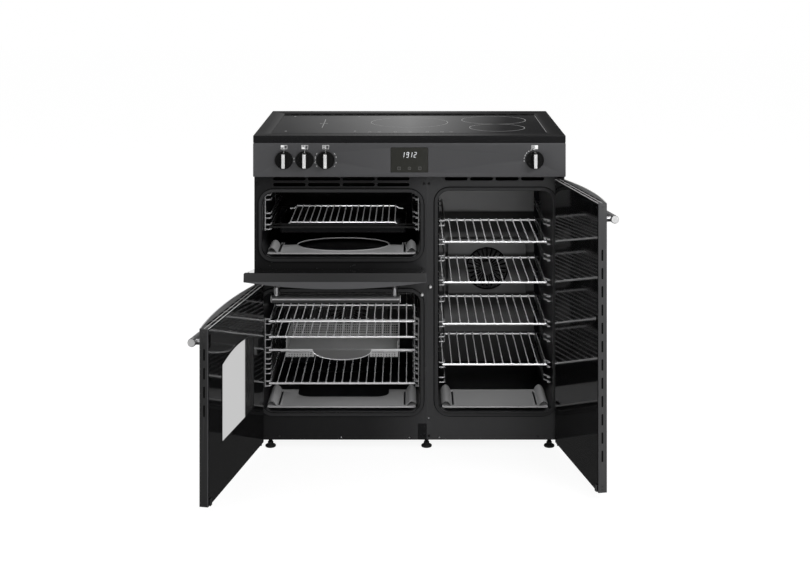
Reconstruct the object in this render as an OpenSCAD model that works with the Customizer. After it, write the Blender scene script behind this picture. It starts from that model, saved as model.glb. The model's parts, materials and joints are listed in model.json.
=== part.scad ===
// Electric range cooker, 90 cm wide: an induction hob over a top oven with a drop-down door,
// a main oven below it and a tall oven beside them. The doors are drawn open.
// Millimetres. X is to the right, Y to the back and Z up. The origin is on the floor,
// at the middle of the width and the middle of the depth.

/* [Overall] */
// Width across the hob
cooker_w = 900; // [880:5:1100]
// Depth from the front of the control fascia to the back panel
cooker_d = 600; // [590:5:650]
// Width of the left column, which holds the two stacked ovens
left_col_w = 500; // [480:5:520]
// How far the oven fronts stand behind the control fascia
frame_setback = 35; // [34:1:45]
// Sheet thickness of the casing
sheet_t = 1.5; // [1:0.1:2]

/* [Heights, stacked from the floor up] */
// Floor to the underside of the base
foot_h = 28; // [25:1:45]
// Base to the floor of the lower ovens
plinth_h = 80; // [60:1:110]
// Inner height of the main oven
main_h = 348; // [330:1:380]
// Between the main oven and the top oven
mid_rail_h = 100; // [96:1:120]
// Inner height of the top oven
top_h = 189; // [175:1:210]
// Top oven to the control fascia
head_h = 51; // [45:1:70]
// Height of the control fascia
fascia_h = 98; // [94:1:120]
// Thickness of the hob
hob_t = 21; // [18:1:30]

/* [Hob] */
// Wall of the hob tray
hob_wall = 3; // [2:0.5:4]
// Thickness of the ceramic glass
glass_t = 4; // [3:0.5:5]
// From the side of the hob to the glass
glass_side = 47; // [30:1:60]
// From the front of the hob to the glass
glass_front = 50; // [30:1:60]
// From the back of the hob to the vent grille
vent_back = 75; // [50:1:90]
// Depth of the vent grille, front to back
vent_d = 44; // [35:1:50]
// Number of louvres in the vent grille
vent_slots = 22; // [10:1:26]

/* [Controls] */
// Diameter of a knob
knob_d = 52; // [40:1:56]
// From the fascia to the face of a knob
knob_reach = 30; // [22:1:40]
// From the side of the cooker to the nearest knob
knob_side = 89; // [60:1:110]
// Distance between the three knobs on the left
knob_pitch = 60; // [58:1:75]
// Diameter of a control shaft
shaft_d = 6; // [5:0.5:7]
// Width of the display
display_w = 107; // [80:1:130]
// Height of the display
display_h = 71; // [50:1:80]

/* [Ovens] */
// From the outer side of the cooker to the two left ovens
cavity_side = 23; // [20:1:30]
// From the middle seam to the two left ovens
cavity_seam = 19; // [18:1:25]
// From each edge of its column to the tall oven
tall_margin = 33; // [28:1:50]
// Depth of each oven
cavity_d = 490; // [470:5:495]
// Corner radius of each oven
cavity_r = 32; // [20:1:40]
// Width of the seal around each oven
seal_w = 8; // [6:0.5:8]
// From an oven wall to the runners of its side racks
rack_inset = 16; // [14:0.5:20]
// Diameter of the rack and rail wires
rail_d = 6; // [5:0.5:7]
// Diameter of the thin wires across a shelf
wire_d = 3.6; // [2.5:0.1:4]
// Width of the dish in the floor plates of the left ovens
dish_w = 330; // [200:5:360]
// Depth of that dish, front to back
dish_d = 260; // [150:5:300]
// Width of the dish in the tall oven's floor plate
tall_dish_w = 250; // [150:5:260]
// Depth of that dish, front to back
tall_dish_d = 200; // [120:5:300]
// Height of the tall oven's fan above its floor
tall_fan_up = 312; // [200:1:400]
// Radius of a fan
fan_r = 69; // [55:1:72]
// From the oven front to the front rail of a shelf
shelf_front = 52; // [45:1:70]
// Depth of a shelf
shelf_d = 331; // [300:1:345]
// Number of thin wires in a tall oven shelf
tall_wires = 11; // [7:1:15]
// Number of thin wires in a main oven shelf
main_wires = 17; // [11:1:21]
// Heights of the tall oven shelves above its floor
tall_shelf_z = [123, 242, 364, 483]; // [60:1:560]
// Heights of the main oven shelves above its floor
main_shelf_z = [68, 204, 250]; // [50:1:320]
// Height of the roasting tray's rim above the main oven floor
roast_z = 166; // [120:1:170]
// Height of the grill pan's rim above the top oven floor
pan_z = 79; // [60:1:100]
// Depth of the grill pan
pan_h = 26; // [20:1:40]
// Width of the grill pan
pan_w = 378; // [300:1:390]
// From the front rail of its frame to the grill pan
pan_front = 45; // [30:1:60]
// Width across the wires of the grill pan's trivet
trivet_w = 310; // [240:1:340]
// Number of wires in the trivet
trivet_wires = 17; // [9:1:21]
// Width of the roasting tray
roast_w = 329; // [250:1:380]
// Depth of the roasting tray, front to back
roast_d = 190; // [150:1:300]

/* [Doors] */
// Closed gap between a door and the oven fronts
door_gap = 5; // [5:0.5:6]
// Thickness of a door at its edges
door_t = 25; // [23:0.5:26]
// How far the middle of a door bows outwards
door_bow = 18; // [8:1:20]
// Thickness of a door's steel skin
skin_t = 2; // [1.5:0.5:2.5]
// Thickness of a door's inner panel
inner_t = 4; // [3:0.5:5]
// Opening angle of the grill door as drawn
grill_open = 79.5; // [70:0.5:85]
// Opening angle of the side-hung doors as drawn
side_open = 101; // [90:1:105]
// Diameter of a handle bar
handle_d = 22; // [18:1:24]
// From the edge of a door's face to the middle of its handle bar
handle_reach = 47; // [44:1:50]
// Length of the handles on the left doors
handle_w = 353; // [280:1:400]
// Length of the handle on the tall door
tall_handle_w = 256; // [200:1:300]
// From the top of a door to its handle
handle_drop = 58; // [50:1:70]
// Width of the window in the main oven door
window_w = 278; // [200:1:300]
// Height of the window at its sides
window_h = 202; // [150:1:220]
// Rise of the window's arched top
window_rise = 17; // [5:1:25]
// Diameter of the pivot pins
pin_d = 8; // [6:0.5:8]

/* [Fittings] */
// Diameter of a levelling foot
foot_d = 36; // [30:1:40]
// Bore of the mains cable gland
gland_bore = 16; // [12:1:20]
// Distance across the wall-fixing holes on the back
wall_fix_w = 400; // [200:10:600]
// Height between the wall-fixing holes
wall_fix_h = 40; // [30:1:50]
// Diameter of a wall-fixing hole
wall_fix_d = 6; // [4:0.5:8]

/* [Hidden] */

// Clearances: faces that slide past each other, and round parts that turn in holes
gap = 0.3;
run_gap = 0.05;
swing_gap = 2;

// Heights above the floor
cavity_z = foot_h + plinth_h;
main_top = cavity_z + main_h;
top_z = main_top + mid_rail_h;
top_top = top_z + top_h;
fascia_z = top_top + head_h;
hob_z = fascia_z + fascia_h;
cooker_h = hob_z + hob_t;
tall_h = top_top + 5 - cavity_z;

// Planes across the depth
front_y = -cooker_d / 2;
back_y = cooker_d / 2;
frame_y = front_y + frame_setback;
casing_y = frame_y + sheet_t;
cavity_back = frame_y + cavity_d;
door_in_y = frame_y - door_gap;
door_out_y = door_in_y - door_t;

// Places across the width
half_w = cooker_w / 2;
seam_x = left_col_w - half_w;
left_w = left_col_w - cavity_side - cavity_seam;
left_x = -half_w + cavity_side + left_w / 2;
tall_w = cooker_w - left_col_w - 2 * tall_margin;
tall_x = seam_x + tall_margin + tall_w / 2;

// Doors: 2 mm in from the side of the cooker, and as much short of the seam's gap
door_side_gap = 2;
door_seam_gap = 4;
left_door_w = left_col_w - door_side_gap - door_seam_gap;
left_door_x = -half_w + door_side_gap + left_door_w / 2;
tall_door_w = cooker_w - left_col_w - 2 * door_side_gap;
tall_door_x = half_w - door_side_gap - tall_door_w / 2;
door_z = foot_h - 2;
door_top = fascia_z - 10;

// Grill door: its pivot lies inside the foot of the door
grill_pivot_y = door_in_y - 17;
grill_foot = 14;
grill_z = top_z - 58;
grill_pivot_z = grill_z + grill_foot;
grill_h = door_top - grill_z;

// The open grill door dips below its pivot, and the main door passes under it
grill_dip = (grill_pivot_y - door_out_y + door_bow) * sin(grill_open) + grill_foot * cos(grill_open);
main_door_top = grill_pivot_z - grill_dip - swing_gap;
main_door_h = main_door_top - door_z;
tall_door_h = door_top - door_z;

// Side-hung doors: the pivot lies inside the hinge edge
pivot_inset = 12;
pivot_y = door_in_y - 15;
main_pivot_x = left_door_x - left_door_w / 2 + pivot_inset;
tall_pivot_x = tall_door_x + tall_door_w / 2 - pivot_inset;

// Handles
post_d = 15;
post_inset = 15;
glass_pane_y = 4;

// Shelves and racks
rack_wire = rail_d - 1;
shelf_y = frame_y + shelf_front;
rack_front = shelf_y - 10;
rack_back = shelf_y + shelf_d + 14;
rod_d = rail_d - 2;
post_off = (rod_d + rack_wire) / 2 + gap;

// Fans
fan_cover_w = 252;
fan_cover_h = 190;
fan_cover_t = 25;
main_fan_z = cavity_z + main_h / 2;
tall_fan_z = cavity_z + tall_fan_up;
motor_body_d = 62;
fan_centres = [[left_x, main_fan_z], [tall_x, tall_fan_z]];
motor_y = cavity_back + sheet_t;

// Colours
black_enamel = [0.06, 0.06, 0.065];
anthracite = [0.27, 0.27, 0.28];
grey_enamel = [0.5, 0.5, 0.51];
chrome = [0.82, 0.82, 0.83];
steel = [0.6, 0.61, 0.62];
copper = [0.72, 0.42, 0.25];

// Stands a flat outline, drawn in X and Z, upright between two depths
module upright(y0, y1) {
    translate([0, y1, 0]) rotate([90, 0, 0]) linear_extrude(y1 - y0) children();
}

// Rounded rectangle about the origin, with true arcs at its corners
module rounded(w, h, r) {
    square([w - 2 * r, h], center = true);
    square([w, h - 2 * r], center = true);
    for (x = [-1, 1], y = [-1, 1])
        translate([x * (w / 2 - r), y * (h / 2 - r)]) circle(r = r, $fn = 48);
}

// Slot with round ends, lying along X about the origin
module slot(length, width) {
    square([length - width, width], center = true);
    for (x = [-1, 1]) translate([x * (length - width) / 2, 0]) circle(d = width, $fn = 24);
}

// Round bars along each axis, from a starting point
module bar_x(at, length, d) {
    translate(at) rotate([0, 90, 0]) cylinder(h = length, d = d, $fn = 32);
}
module bar_y(at, length, d) {
    translate(at) rotate([-90, 0, 0]) cylinder(h = length, d = d, $fn = 32);
}
module bar_z(at, length, d) {
    translate(at) cylinder(h = length, d = d, $fn = 32);
}
// Thin wire along Y: eight flats keep its many welds to the rails plain
module thin_wire(at, length) {
    translate(at) rotate([-90, 0, 0]) cylinder(h = length, d = wire_d, $fn = 8);
}

// The outline of each oven's mouth, grown by a margin
module top_mouth(grow = 0) {
    translate([left_x, top_z + top_h / 2])
        rounded(left_w + 2 * grow, top_h + 2 * grow, cavity_r + grow);
}
module main_mouth(grow = 0) {
    translate([left_x, cavity_z + main_h / 2])
        rounded(left_w + 2 * grow, main_h + 2 * grow, cavity_r + grow);
}
module tall_mouth(grow = 0) {
    translate([tall_x, cavity_z + tall_h / 2])
        rounded(tall_w + 2 * grow, tall_h + 2 * grow, cavity_r + grow);
}

/* ---- Hob ---- */

glass_w = cooker_w - 2 * glass_side;
glass_back = back_y - vent_back - vent_d - 6;
glass_d = glass_back - front_y - glass_front;
glass_y = front_y + glass_front + glass_d / 2;
hob_lip = 6;
hob_floor = 2;
vent_y = back_y - vent_back - vent_d / 2;
vent_t = 3;
coil_t = 9;

module hob_frame() color(black_enamel) difference() {
    translate([-half_w, front_y, hob_z]) cube([cooker_w, cooker_d, hob_t]);
    translate([-half_w + hob_wall, front_y + hob_wall, hob_z + hob_floor])
        cube([cooker_w - 2 * hob_wall, cooker_d - 2 * hob_wall, hob_t - hob_floor - hob_lip]);
    translate([0, glass_y, cooker_h - glass_t]) linear_extrude(hob_lip)
        rounded(glass_w + 2 * gap, glass_d + 2 * gap, 8);
    translate([0, glass_y, cooker_h - hob_lip - 1]) linear_extrude(hob_lip)
        rounded(glass_w - 2 * hob_lip, glass_d - 2 * hob_lip, 6);
    translate([0, vent_y, cooker_h - vent_t]) linear_extrude(hob_lip)
        rounded(glass_w + 2 * gap, vent_d + 2 * gap, 5);
    translate([0, vent_y, cooker_h - hob_lip - 1]) linear_extrude(hob_lip)
        rounded(glass_w - 2 * hob_lip, vent_d - 2 * hob_lip, 4);
}

module hob_glass() color(black_enamel)
    translate([0, glass_y, cooker_h - glass_t]) linear_extrude(glass_t)
        rounded(glass_w, glass_d, 8);

module hob_vent_grille() color(black_enamel) translate([0, vent_y, cooker_h - vent_t]) {
    pitch = (glass_w - 30) / vent_slots;
    difference() {
        linear_extrude(vent_t) rounded(glass_w, vent_d, 5);
        for (i = [0 : vent_slots - 1])
            translate([(i - (vent_slots - 1) / 2) * pitch, 0, -1]) linear_extrude(vent_t + 2)
                slot(pitch - 9, 14);
    }
}

// Cooking zones: place from the hob's middle, and radius
flexi_x = -half_w + 190;
right_zone_x = half_w - 187;
zones = [
    [flexi_x, -112, 88], [flexi_x, 62, 88], [0, 4, 118], [right_zone_x, 61, 99.5],
    [right_zone_x, -121, 82.5]
];

module induction_coils() color(copper)
    for (zone = zones)
        translate([zone[0], zone[1], hob_z + hob_floor]) difference() {
            cylinder(h = coil_t, r = zone[2] - 3, $fn = 64);
            translate([0, 0, -1]) cylinder(h = coil_t + 2, r = 20, $fn = 48);
        }

power_w = 300;
power_d = 240;
power_h = 45;
module hob_power_module() color(steel)
    translate([tall_x - power_w / 2, -power_d / 2, hob_z - power_h]) cube([power_w, power_d, power_h]);

/* ---- Controls ---- */

fascia_t = 2;
knob_z = fascia_z + fascia_h / 2;
knob_x = [
    -half_w + knob_side, -half_w + knob_side + knob_pitch,
    -half_w + knob_side + 2 * knob_pitch, half_w - knob_side
];
switch_w = 44;
switch_d = frame_setback - fascia_t - 3;
dial_t = 6;
grip_w = 13;

module control_fascia() color(anthracite) difference() {
    translate([-half_w, front_y, fascia_z]) cube([cooker_w, frame_setback, fascia_h]);
    translate([-half_w + fascia_t, front_y + fascia_t, fascia_z + fascia_t])
        cube([cooker_w - 2 * fascia_t, frame_setback, fascia_h - 2 * fascia_t]);
    for (x = knob_x)
        bar_y([x, front_y - 1, knob_z], fascia_t + 2, shaft_d + 4);
    translate([-display_w / 2 - gap, front_y - 1, knob_z - display_h / 2 - gap])
        cube([display_w + 2 * gap, fascia_t + 2, display_h + 2 * gap]);
}

module display_window() color("black")
    translate([-display_w / 2, front_y - 0.6, knob_z - display_h / 2])
        cube([display_w, fascia_t + 0.6, display_h]);

module timer_module() color("darkgreen")
    translate([-display_w / 2 - 6, front_y + fascia_t, knob_z - display_h / 2 - 5])
        cube([display_w + 12, switch_d - 6, display_h + 10]);

module control_switches() color("dimgray")
    for (x = knob_x) difference() {
        translate([x - switch_w / 2, front_y + fascia_t, knob_z - switch_w / 2])
            cube([switch_w, switch_d, switch_w]);
        bar_y([x, front_y, knob_z], 22, shaft_d + 2 * run_gap);
    }

// A round dial with an upright grip across it, on the shaft of its switch
module knob(x) color(black_enamel) {
    dial_y = front_y - gap - dial_t;
    bar_y([x, dial_y, knob_z], dial_t, knob_d);
    bar_y([x, dial_y + dial_t - 1, knob_z], 20, shaft_d);
    upright(front_y - knob_reach, dial_y + 1) translate([x, knob_z])
        rounded(grip_w, knob_d - 8, 6);
}
module knob_top_oven() knob(knob_x[0]);
module knob_main_function() knob(knob_x[1]);
module knob_main_heat() knob(knob_x[2]);
module knob_tall_oven() knob(knob_x[3]);

/* ---- Casing ---- */

module side_panel(x) color(black_enamel)
    translate([x, casing_y, foot_h])
        cube([sheet_t, back_y - sheet_t - casing_y, hob_z - foot_h]);
module side_panel_left() side_panel(-half_w);
module side_panel_right() side_panel(half_w - sheet_t);

gland_x = -half_w + 120;
gland_z = foot_h + 120;
box_w = 110;
box_h = 90;
box_d = 34;

screw_d = 7;
back_screw_x = [-half_w + 12, half_w - 12];
back_screw_z = [foot_h + 20, cooker_h / 2, hob_z - 20];
module back_panel() color(steel) difference() {
    translate([-half_w, back_y - sheet_t, foot_h]) cube([cooker_w, sheet_t, hob_z - foot_h]);
    translate([gland_x - box_w / 2 + 8, back_y - sheet_t - 1, gland_z - box_h / 2 + 8])
        cube([box_w - 16, sheet_t + 2, box_h - 16]);
    for (x = [-1, 1], z = [-1, 1])
        bar_y([x * wall_fix_w / 2, back_y - sheet_t - 1, knob_z + z * wall_fix_h / 2],
            sheet_t + 2, wall_fix_d);
    for (x = back_screw_x, z = back_screw_z)
        bar_y([x, back_y - sheet_t - 1, z], sheet_t + 2, screw_d + 2 * run_gap);
    for (column = [-1, 1], row = [0 : 7])
        upright(back_y - sheet_t - 1, back_y + 1)
            translate([column * half_w / 2, top_z + 20 * row]) slot(120, 7);
}

module base_plate() color(steel)
    translate([-half_w + sheet_t, casing_y, foot_h])
        cube([cooker_w - 2 * sheet_t, back_y - sheet_t - casing_y, sheet_t]);

// Cooling-air slots above the ovens: a row is cut into one column of the front
slot_gap = 7;
module slot_row(x0, x1, z, count, width) {
    pitch = (x1 - x0 + slot_gap) / count;
    for (i = [0 : count - 1])
        translate([x0 + (i + 0.5) * pitch - slot_gap / 2, z]) slot(pitch - slot_gap, width);
}

module front_sheet(x0, x1) upright(frame_y, casing_y) difference() {
    translate([x0, foot_h]) square([x1 - x0, hob_z - foot_h]);
    children();
}
module front_frame_left() color(black_enamel) front_sheet(-half_w, seam_x) {
    top_mouth();
    main_mouth();
    for (row = [0, 1])
        slot_row(-half_w + 55, seam_x - 50, fascia_z - 28 + 17 * row, 4, 10);
}
module front_frame_right() color([0.2, 0.2, 0.2]) front_sheet(seam_x, half_w) {
    tall_mouth();
    slot_row(seam_x + 52, half_w - 59, fascia_z - 11, 4, 10);
}

foot_x = [-half_w + 45, seam_x, half_w - 42];
module levelling_feet() color("black")
    for (x = foot_x, y = [frame_y + 25, back_y - 40]) {
        bar_z([x, y, 0], 12, foot_d);
        bar_z([x, y, 11], foot_h - 11, foot_d / 3);
    }

module frame_screws() color(chrome) {
    for (x = [-half_w + 7, seam_x - 7, seam_x + 7, half_w - 7], z = [fascia_z - 25, foot_h + 12])
        bar_y([x, frame_y - 1.5, z], 1.5, screw_d);
    for (x = back_screw_x, z = back_screw_z) {
        bar_y([x, back_y - sheet_t, z], sheet_t, screw_d);
        bar_y([x, back_y - sheet_t - 8, z], 9, screw_d / 2);
    }
}

module terminal_box() color("dimgray")
    difference() {
        translate([gland_x - box_w / 2, back_y - sheet_t - box_d, gland_z - box_h / 2])
            cube([box_w, box_d, box_h]);
        translate([gland_x - box_w / 2 + 8, back_y - sheet_t - 10, gland_z - box_h / 2 + 8])
            cube([box_w - 16, 12, box_h - 16]);
        bar_y([gland_x, back_y - sheet_t - box_d + 4, gland_z], box_d, gland_bore);
    }

module cable_gland() color("black") difference() {
    union() {
        bar_y([gland_x, back_y - sheet_t - 10, gland_z], 9, gland_bore + 8);
        translate([gland_x, back_y - sheet_t - 5, gland_z]) rotate([-90, 0, 0])
            cylinder(h = 5, d = gland_bore + 14, $fn = 6);
    }
    bar_y([gland_x, back_y - sheet_t - 12, gland_z], 14, gland_bore);
}

/* ---- Oven cavities ---- */

// A liner is a box with a shut back; its mouth is welded to the front frame
module liner() difference() {
    upright(casing_y, cavity_back + sheet_t) children(0);
    upright(casing_y - 1, cavity_back) children(1);
    for (fan = fan_centres)
        bar_y([fan[0], cavity_back - 1, fan[1]], sheet_t + 2, 12);
}
module top_oven_liner() color(black_enamel) liner() {
    top_mouth(sheet_t);
    top_mouth();
}
module main_oven_liner() color(black_enamel) liner() {
    main_mouth(sheet_t);
    main_mouth();
}
module tall_oven_liner() color(black_enamel) liner() {
    tall_mouth(sheet_t);
    tall_mouth();
}

module seal() upright(door_in_y + gap, frame_y) difference() {
    children(0);
    children(1);
}
seal_in = 2;
module door_seals() color([0.16, 0.16, 0.165]) {
    seal() {
        top_mouth(seal_in + seal_w);
        top_mouth(seal_in);
    }
    seal() {
        main_mouth(seal_in + seal_w);
        main_mouth(seal_in);
    }
    seal() {
        tall_mouth(seal_in + seal_w);
        tall_mouth(seal_in);
    }
}

// Pressed floor of an oven: a plate with a shallow dish, cut to the outline of the oven's mouth
floor_t = 10;
floor_front = 25;
floor_side = 12;
module floor_plate(x, z, w, hollow_w, hollow_d) {
    plate_d = shelf_d + 60;
    intersection() {
        translate([x, frame_y + floor_front + plate_d / 2, z]) difference() {
            linear_extrude(floor_t) rounded(w - 2 * floor_side, plate_d, 25);
            translate([0, 0, floor_t - 7]) linear_extrude(floor_t)
                rounded(hollow_w, hollow_d, hollow_d / 2 - 1);
        }
        upright(frame_y, cavity_back) children();
    }
}
module oven_floor_plates() color(grey_enamel) {
    floor_plate(left_x, top_z, left_w, dish_w, dish_d) top_mouth(-gap);
    floor_plate(left_x, cavity_z, left_w, dish_w, dish_d) main_mouth(-gap);
    floor_plate(tall_x, cavity_z, tall_w, tall_dish_w, tall_dish_d) tall_mouth(-gap);
}

lamp_d = 44;
lamps = [
    [left_x + left_w / 2 - 60, top_top - 50], [left_x + left_w / 2 - 60, main_top - 50],
    [tall_x + tall_w / 2 - 60, top_top - 50]
];
module lamp_lenses() color("lightyellow")
    for (lamp = lamps) {
        bar_y([lamp[0], cavity_back - 5, lamp[1]], 5, lamp_d);
        bar_y([lamp[0], cavity_back - 12, lamp[1]], 9, lamp_d - 12);
    }

// Heating bars of the grill, joined end to end in a zigzag under the top oven's roof
grill_bars = 8;
grill_pitch = 34;
grill_bar_w = 330;
grill_bar_d = 6.5;
grill_z0 = top_top - 24;
module grill_element() color("dimgray") {
    back = cavity_back - 30;
    for (i = [0 : grill_bars - 1]) {
        y = back - i * grill_pitch;
        bar_x([left_x - grill_bar_w / 2, y, grill_z0], grill_bar_w, grill_bar_d);
        side = i % 2 == 0 ? 1 : -1;
        if (i < grill_bars - 1)
            translate([left_x + side * grill_bar_w / 2, y - grill_pitch / 2, grill_z0])
                rotate([0, 0, side > 0 ? -90 : 90])
                    rotate_extrude(angle = 180, $fn = 48)
                        translate([grill_pitch / 2, 0]) circle(d = grill_bar_d, $fn = 24);
    }
    for (y = [back - grill_pitch, back - 5 * grill_pitch])
        bar_z([left_x, y, grill_z0], top_top - grill_z0, 5);
    bar_y([left_x - grill_bar_w / 2 + 4, back, grill_z0], 30, grill_bar_d - 0.5);
}

// Ring heater of each fan, on two legs through the back wall
module fan_heaters() color("dimgray")
    for (fan = fan_centres) translate([fan[0], cavity_back - 12, fan[1]]) {
        rotate([90, 0, 0]) rotate_extrude($fn = 96)
            translate([fan_r + 12, 0]) circle(d = 6.5, $fn = 24);
        for (x = [-1, 1]) bar_y([x * 28, 0, -sqrt(pow(fan_r + 12, 2) - 28 * 28)], 12, 6);
    }

cover_slots = 24;
module fan_cover(x, z) translate([x, 0, z]) difference() {
    upright(cavity_back - fan_cover_t, cavity_back) rounded(fan_cover_w, fan_cover_h, 22);
    upright(cavity_back - fan_cover_t + sheet_t, cavity_back + 1)
        rounded(fan_cover_w - 2 * sheet_t, fan_cover_h - 2 * sheet_t, 20);
    upright(cavity_back - fan_cover_t - 1, cavity_back - fan_cover_t + 3)
        for (i = [0 : cover_slots - 1])
            rotate(i * 360 / cover_slots) translate([(fan_r + 18) / 2, 0]) slot(fan_r - 24, 5.5);
}
module fan_covers() color(black_enamel)
    for (fan = fan_centres) fan_cover(fan[0], fan[1]);

motor_d = back_y - sheet_t - motor_y - 4;
motor_foot_w = 90;
motor_foot_h = 24;
module fan_motors() color(steel)
    for (fan = fan_centres) difference() {
        union() {
            bar_y([fan[0], motor_y, fan[1]], motor_d, motor_body_d);
            translate([fan[0] - motor_foot_w / 2, motor_y, fan[1] - motor_foot_h / 2])
                cube([motor_foot_w, 3, motor_foot_h]);
        }
        bar_y([fan[0], motor_y - 1, fan[1]], motor_d - 8, shaft_d + 2 * run_gap);
    }

// Impeller with straight blades, on the shaft of its motor
blades = 10;
fan_disc_y = cavity_back - 6;
module impeller(x, z) color(steel) {
    bar_y([x, fan_disc_y - 1.2, z], 1.2, 2 * fan_r - 14);
    bar_y([x, fan_disc_y - 12, z], 12, 16);
    bar_y([x, fan_disc_y - 1, z], motor_y - fan_disc_y + 20, shaft_d);
    for (i = [0 : blades - 1])
        translate([x, fan_disc_y - 12, z]) rotate([0, i * 360 / blades, 0])
            translate([30, 0, -0.75]) cube([fan_r - 42, 11.5, 1.5]);
}
module main_fan() impeller(left_x, main_fan_z);
module tall_fan() impeller(tall_x, tall_fan_z);

/* ---- Racks, shelves and trays ---- */

// Runner pair of one shelf on one side: the shelf's side rod slides between two wires
runner_drop = (rail_d + rack_wire) / 2 + gap;
runner_rise = runner_drop + 2.5;
module runner(x, z) {
    length = rack_back - rack_front;
    for (dz = [-runner_drop, runner_rise]) {
        bar_y([x, rack_front, z + dz], length, rack_wire);
        translate([x, rack_back, z + dz]) sphere(d = rack_wire, $fn = 32);
    }
}

// Rack on one wall: side is -1 on an oven's left wall and 1 on its right
module rack(x, w, side, z0, z1, levels) {
    runner_x = x + side * (w / 2 - rack_inset);
    post_x = runner_x + side * post_off;
    for (y = [rack_front + 14, rack_back - 14]) {
        bar_z([post_x, y, z0], z1 - z0, rack_wire);
        for (z = [z0 + 8, z1 - 8])
            bar_x([side > 0 ? post_x : x - w / 2, y, z], rack_inset - post_off, rack_wire);
    }
    for (z = levels) runner(runner_x, z);
}

top_levels = [top_z + pan_z];
main_levels = [for (z = concat(main_shelf_z, [roast_z])) cavity_z + z];
tall_levels = [for (z = tall_shelf_z) cavity_z + z];
module side_racks() color(chrome)
    for (side = [-1, 1]) {
        rack(left_x, left_w, side, top_z + cavity_r, top_top - cavity_r, top_levels);
        rack(left_x, left_w, side, cavity_z + cavity_r, main_top - cavity_r, main_levels);
        rack(tall_x, tall_w, side, cavity_z + cavity_r, cavity_z + tall_h - cavity_r, tall_levels);
    }

// Rails round a shelf: the side rods ride on the runners
module shelf_rim(x, w, z, d) {
    half = w / 2 - rack_inset;
    for (y = [shelf_y, shelf_y + d])
        bar_x([x - half - 1, y, z], 2 * half + 2, rail_d);
    for (side = [-1, 1])
        bar_y([x + side * half, shelf_y, z], d, rod_d);
}

// How far a thin wire sinks into the rail that it is welded to
weld = 0.8;
// Wire shelf: thin wires lie on the rails from front to back
module wire_shelf(x, w, z, wires) color(chrome) {
    shelf_rim(x, w, z, shelf_d);
    half = w / 2 - rack_inset;
    pitch = 2 * half / (wires + 1);
    for (i = [1 : wires])
        thin_wire([x - half + i * pitch, shelf_y - 1, z + rail_d / 2 + wire_d / 2 - weld],
            shelf_d + 2);
}

// A main oven shelf has a third rail under its wires, behind the middle
third_rail = 0.55;
module main_shelf(z) {
    wire_shelf(left_x, left_w, z, main_wires);
    half = left_w / 2 - rack_inset;
    color(chrome)
        bar_x([left_x - half, shelf_y + shelf_d * third_rail, z + (rail_d - rod_d) / 2], 2 * half, rod_d);
}
module main_shelf_low() main_shelf(cavity_z + main_shelf_z[0]);
module main_shelf_mid() main_shelf(cavity_z + main_shelf_z[1]);
module main_shelf_high() main_shelf(cavity_z + main_shelf_z[2]);
module tall_shelf_1() wire_shelf(tall_x, tall_w, cavity_z + tall_shelf_z[0], tall_wires);
module tall_shelf_2() wire_shelf(tall_x, tall_w, cavity_z + tall_shelf_z[1], tall_wires);
module tall_shelf_3() wire_shelf(tall_x, tall_w, cavity_z + tall_shelf_z[2], tall_wires);
module tall_shelf_4() wire_shelf(tall_x, tall_w, cavity_z + tall_shelf_z[3], tall_wires);

// Open tray with a wall all round, from its floor up to a rim
module tray(x, y0, z, w, d, h, wall) translate([x, y0 + d / 2, z]) difference() {
    linear_extrude(h) rounded(w, d, 12);
    translate([0, 0, wall]) linear_extrude(h) rounded(w - 2 * wall, d - 2 * wall, 12 - wall);
}

tray_wall = 2;
roast_lip = 24;
module roasting_tray() color(steel) {
    z = cavity_z + roast_z;
    half = left_w / 2 - rack_inset;
    shelf_rim(left_x, left_w, z, shelf_d);
    for (side = [-1, 1])
        bar_y([left_x + side * (roast_w / 2 + 1), shelf_y, z], shelf_d, rod_d);
    difference() {
        tray(left_x, shelf_y + 2, z - 12, roast_w, roast_d, 38, tray_wall);
        translate([left_x - roast_w / 2 + 14, shelf_y, z]) cube([roast_w - 28, 20, 60]);
    }
    translate([left_x - roast_w / 2, shelf_y - 4.5, z - roast_lip])
        cube([roast_w, tray_wall, roast_lip + 3]);
}

pan_y = shelf_y + pan_front;
pan_d = shelf_d - pan_front - 10;
module grill_pan() {
    z = top_z + pan_z;
    color(black_enamel) {
        shelf_rim(left_x, left_w, z, shelf_d);
        tray(left_x, pan_y, z - pan_h, pan_w, pan_d, pan_h, tray_wall);
        for (y = [pan_y - 1, pan_y + pan_d + 1])
            bar_x([left_x - left_w / 2 + rack_inset, y, z], left_w - 2 * rack_inset, rod_d);
    }
    color(chrome) trivet(z + gap);
}

// Trivet: wires on two rails, which lie across the side walls of the pan
trivet_margin = 6;
module trivet(z) {
    for (y = [pan_y + trivet_margin, pan_y + pan_d - trivet_margin])
        bar_x([left_x - pan_w / 2, y, z + rod_d / 2], pan_w, rod_d);
    pitch = trivet_w / (trivet_wires - 1);
    for (i = [0 : trivet_wires - 1])
        thin_wire([left_x - trivet_w / 2 + i * pitch, pan_y + trivet_margin - 1,
            z + rod_d + wire_d / 2 - weld], pan_d - 2 * trivet_margin + 2);
}

/* ---- Doors, drawn closed and then opened about their pivots ---- */

// Plan of a door: its flat edges lie at y = 0 and its face bows towards -Y
bow_r = function(w) (w * w / 4 + door_bow * door_bow) / (2 * door_bow);
module door_plan(w, inset) {
    r = bow_r(w);
    intersection() {
        translate([-w / 2 + inset, -door_bow]) square([w - 2 * inset, door_t + door_bow]);
        translate([0, r - door_bow]) circle(r = r - inset, $fn = 200);
    }
}

// Steel skin: a bowed tray, open towards the oven. Its rim stops short of the inner panel's face
rim_short = 2;
module door_skin(w, h) difference() {
    linear_extrude(h) door_plan(w, 0);
    translate([0, 0, skin_t]) linear_extrude(h - 2 * skin_t) door_plan(w, skin_t);
    translate([-w, door_t - rim_short, -1]) cube([2 * w, 10, h + 2]);
}

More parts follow.
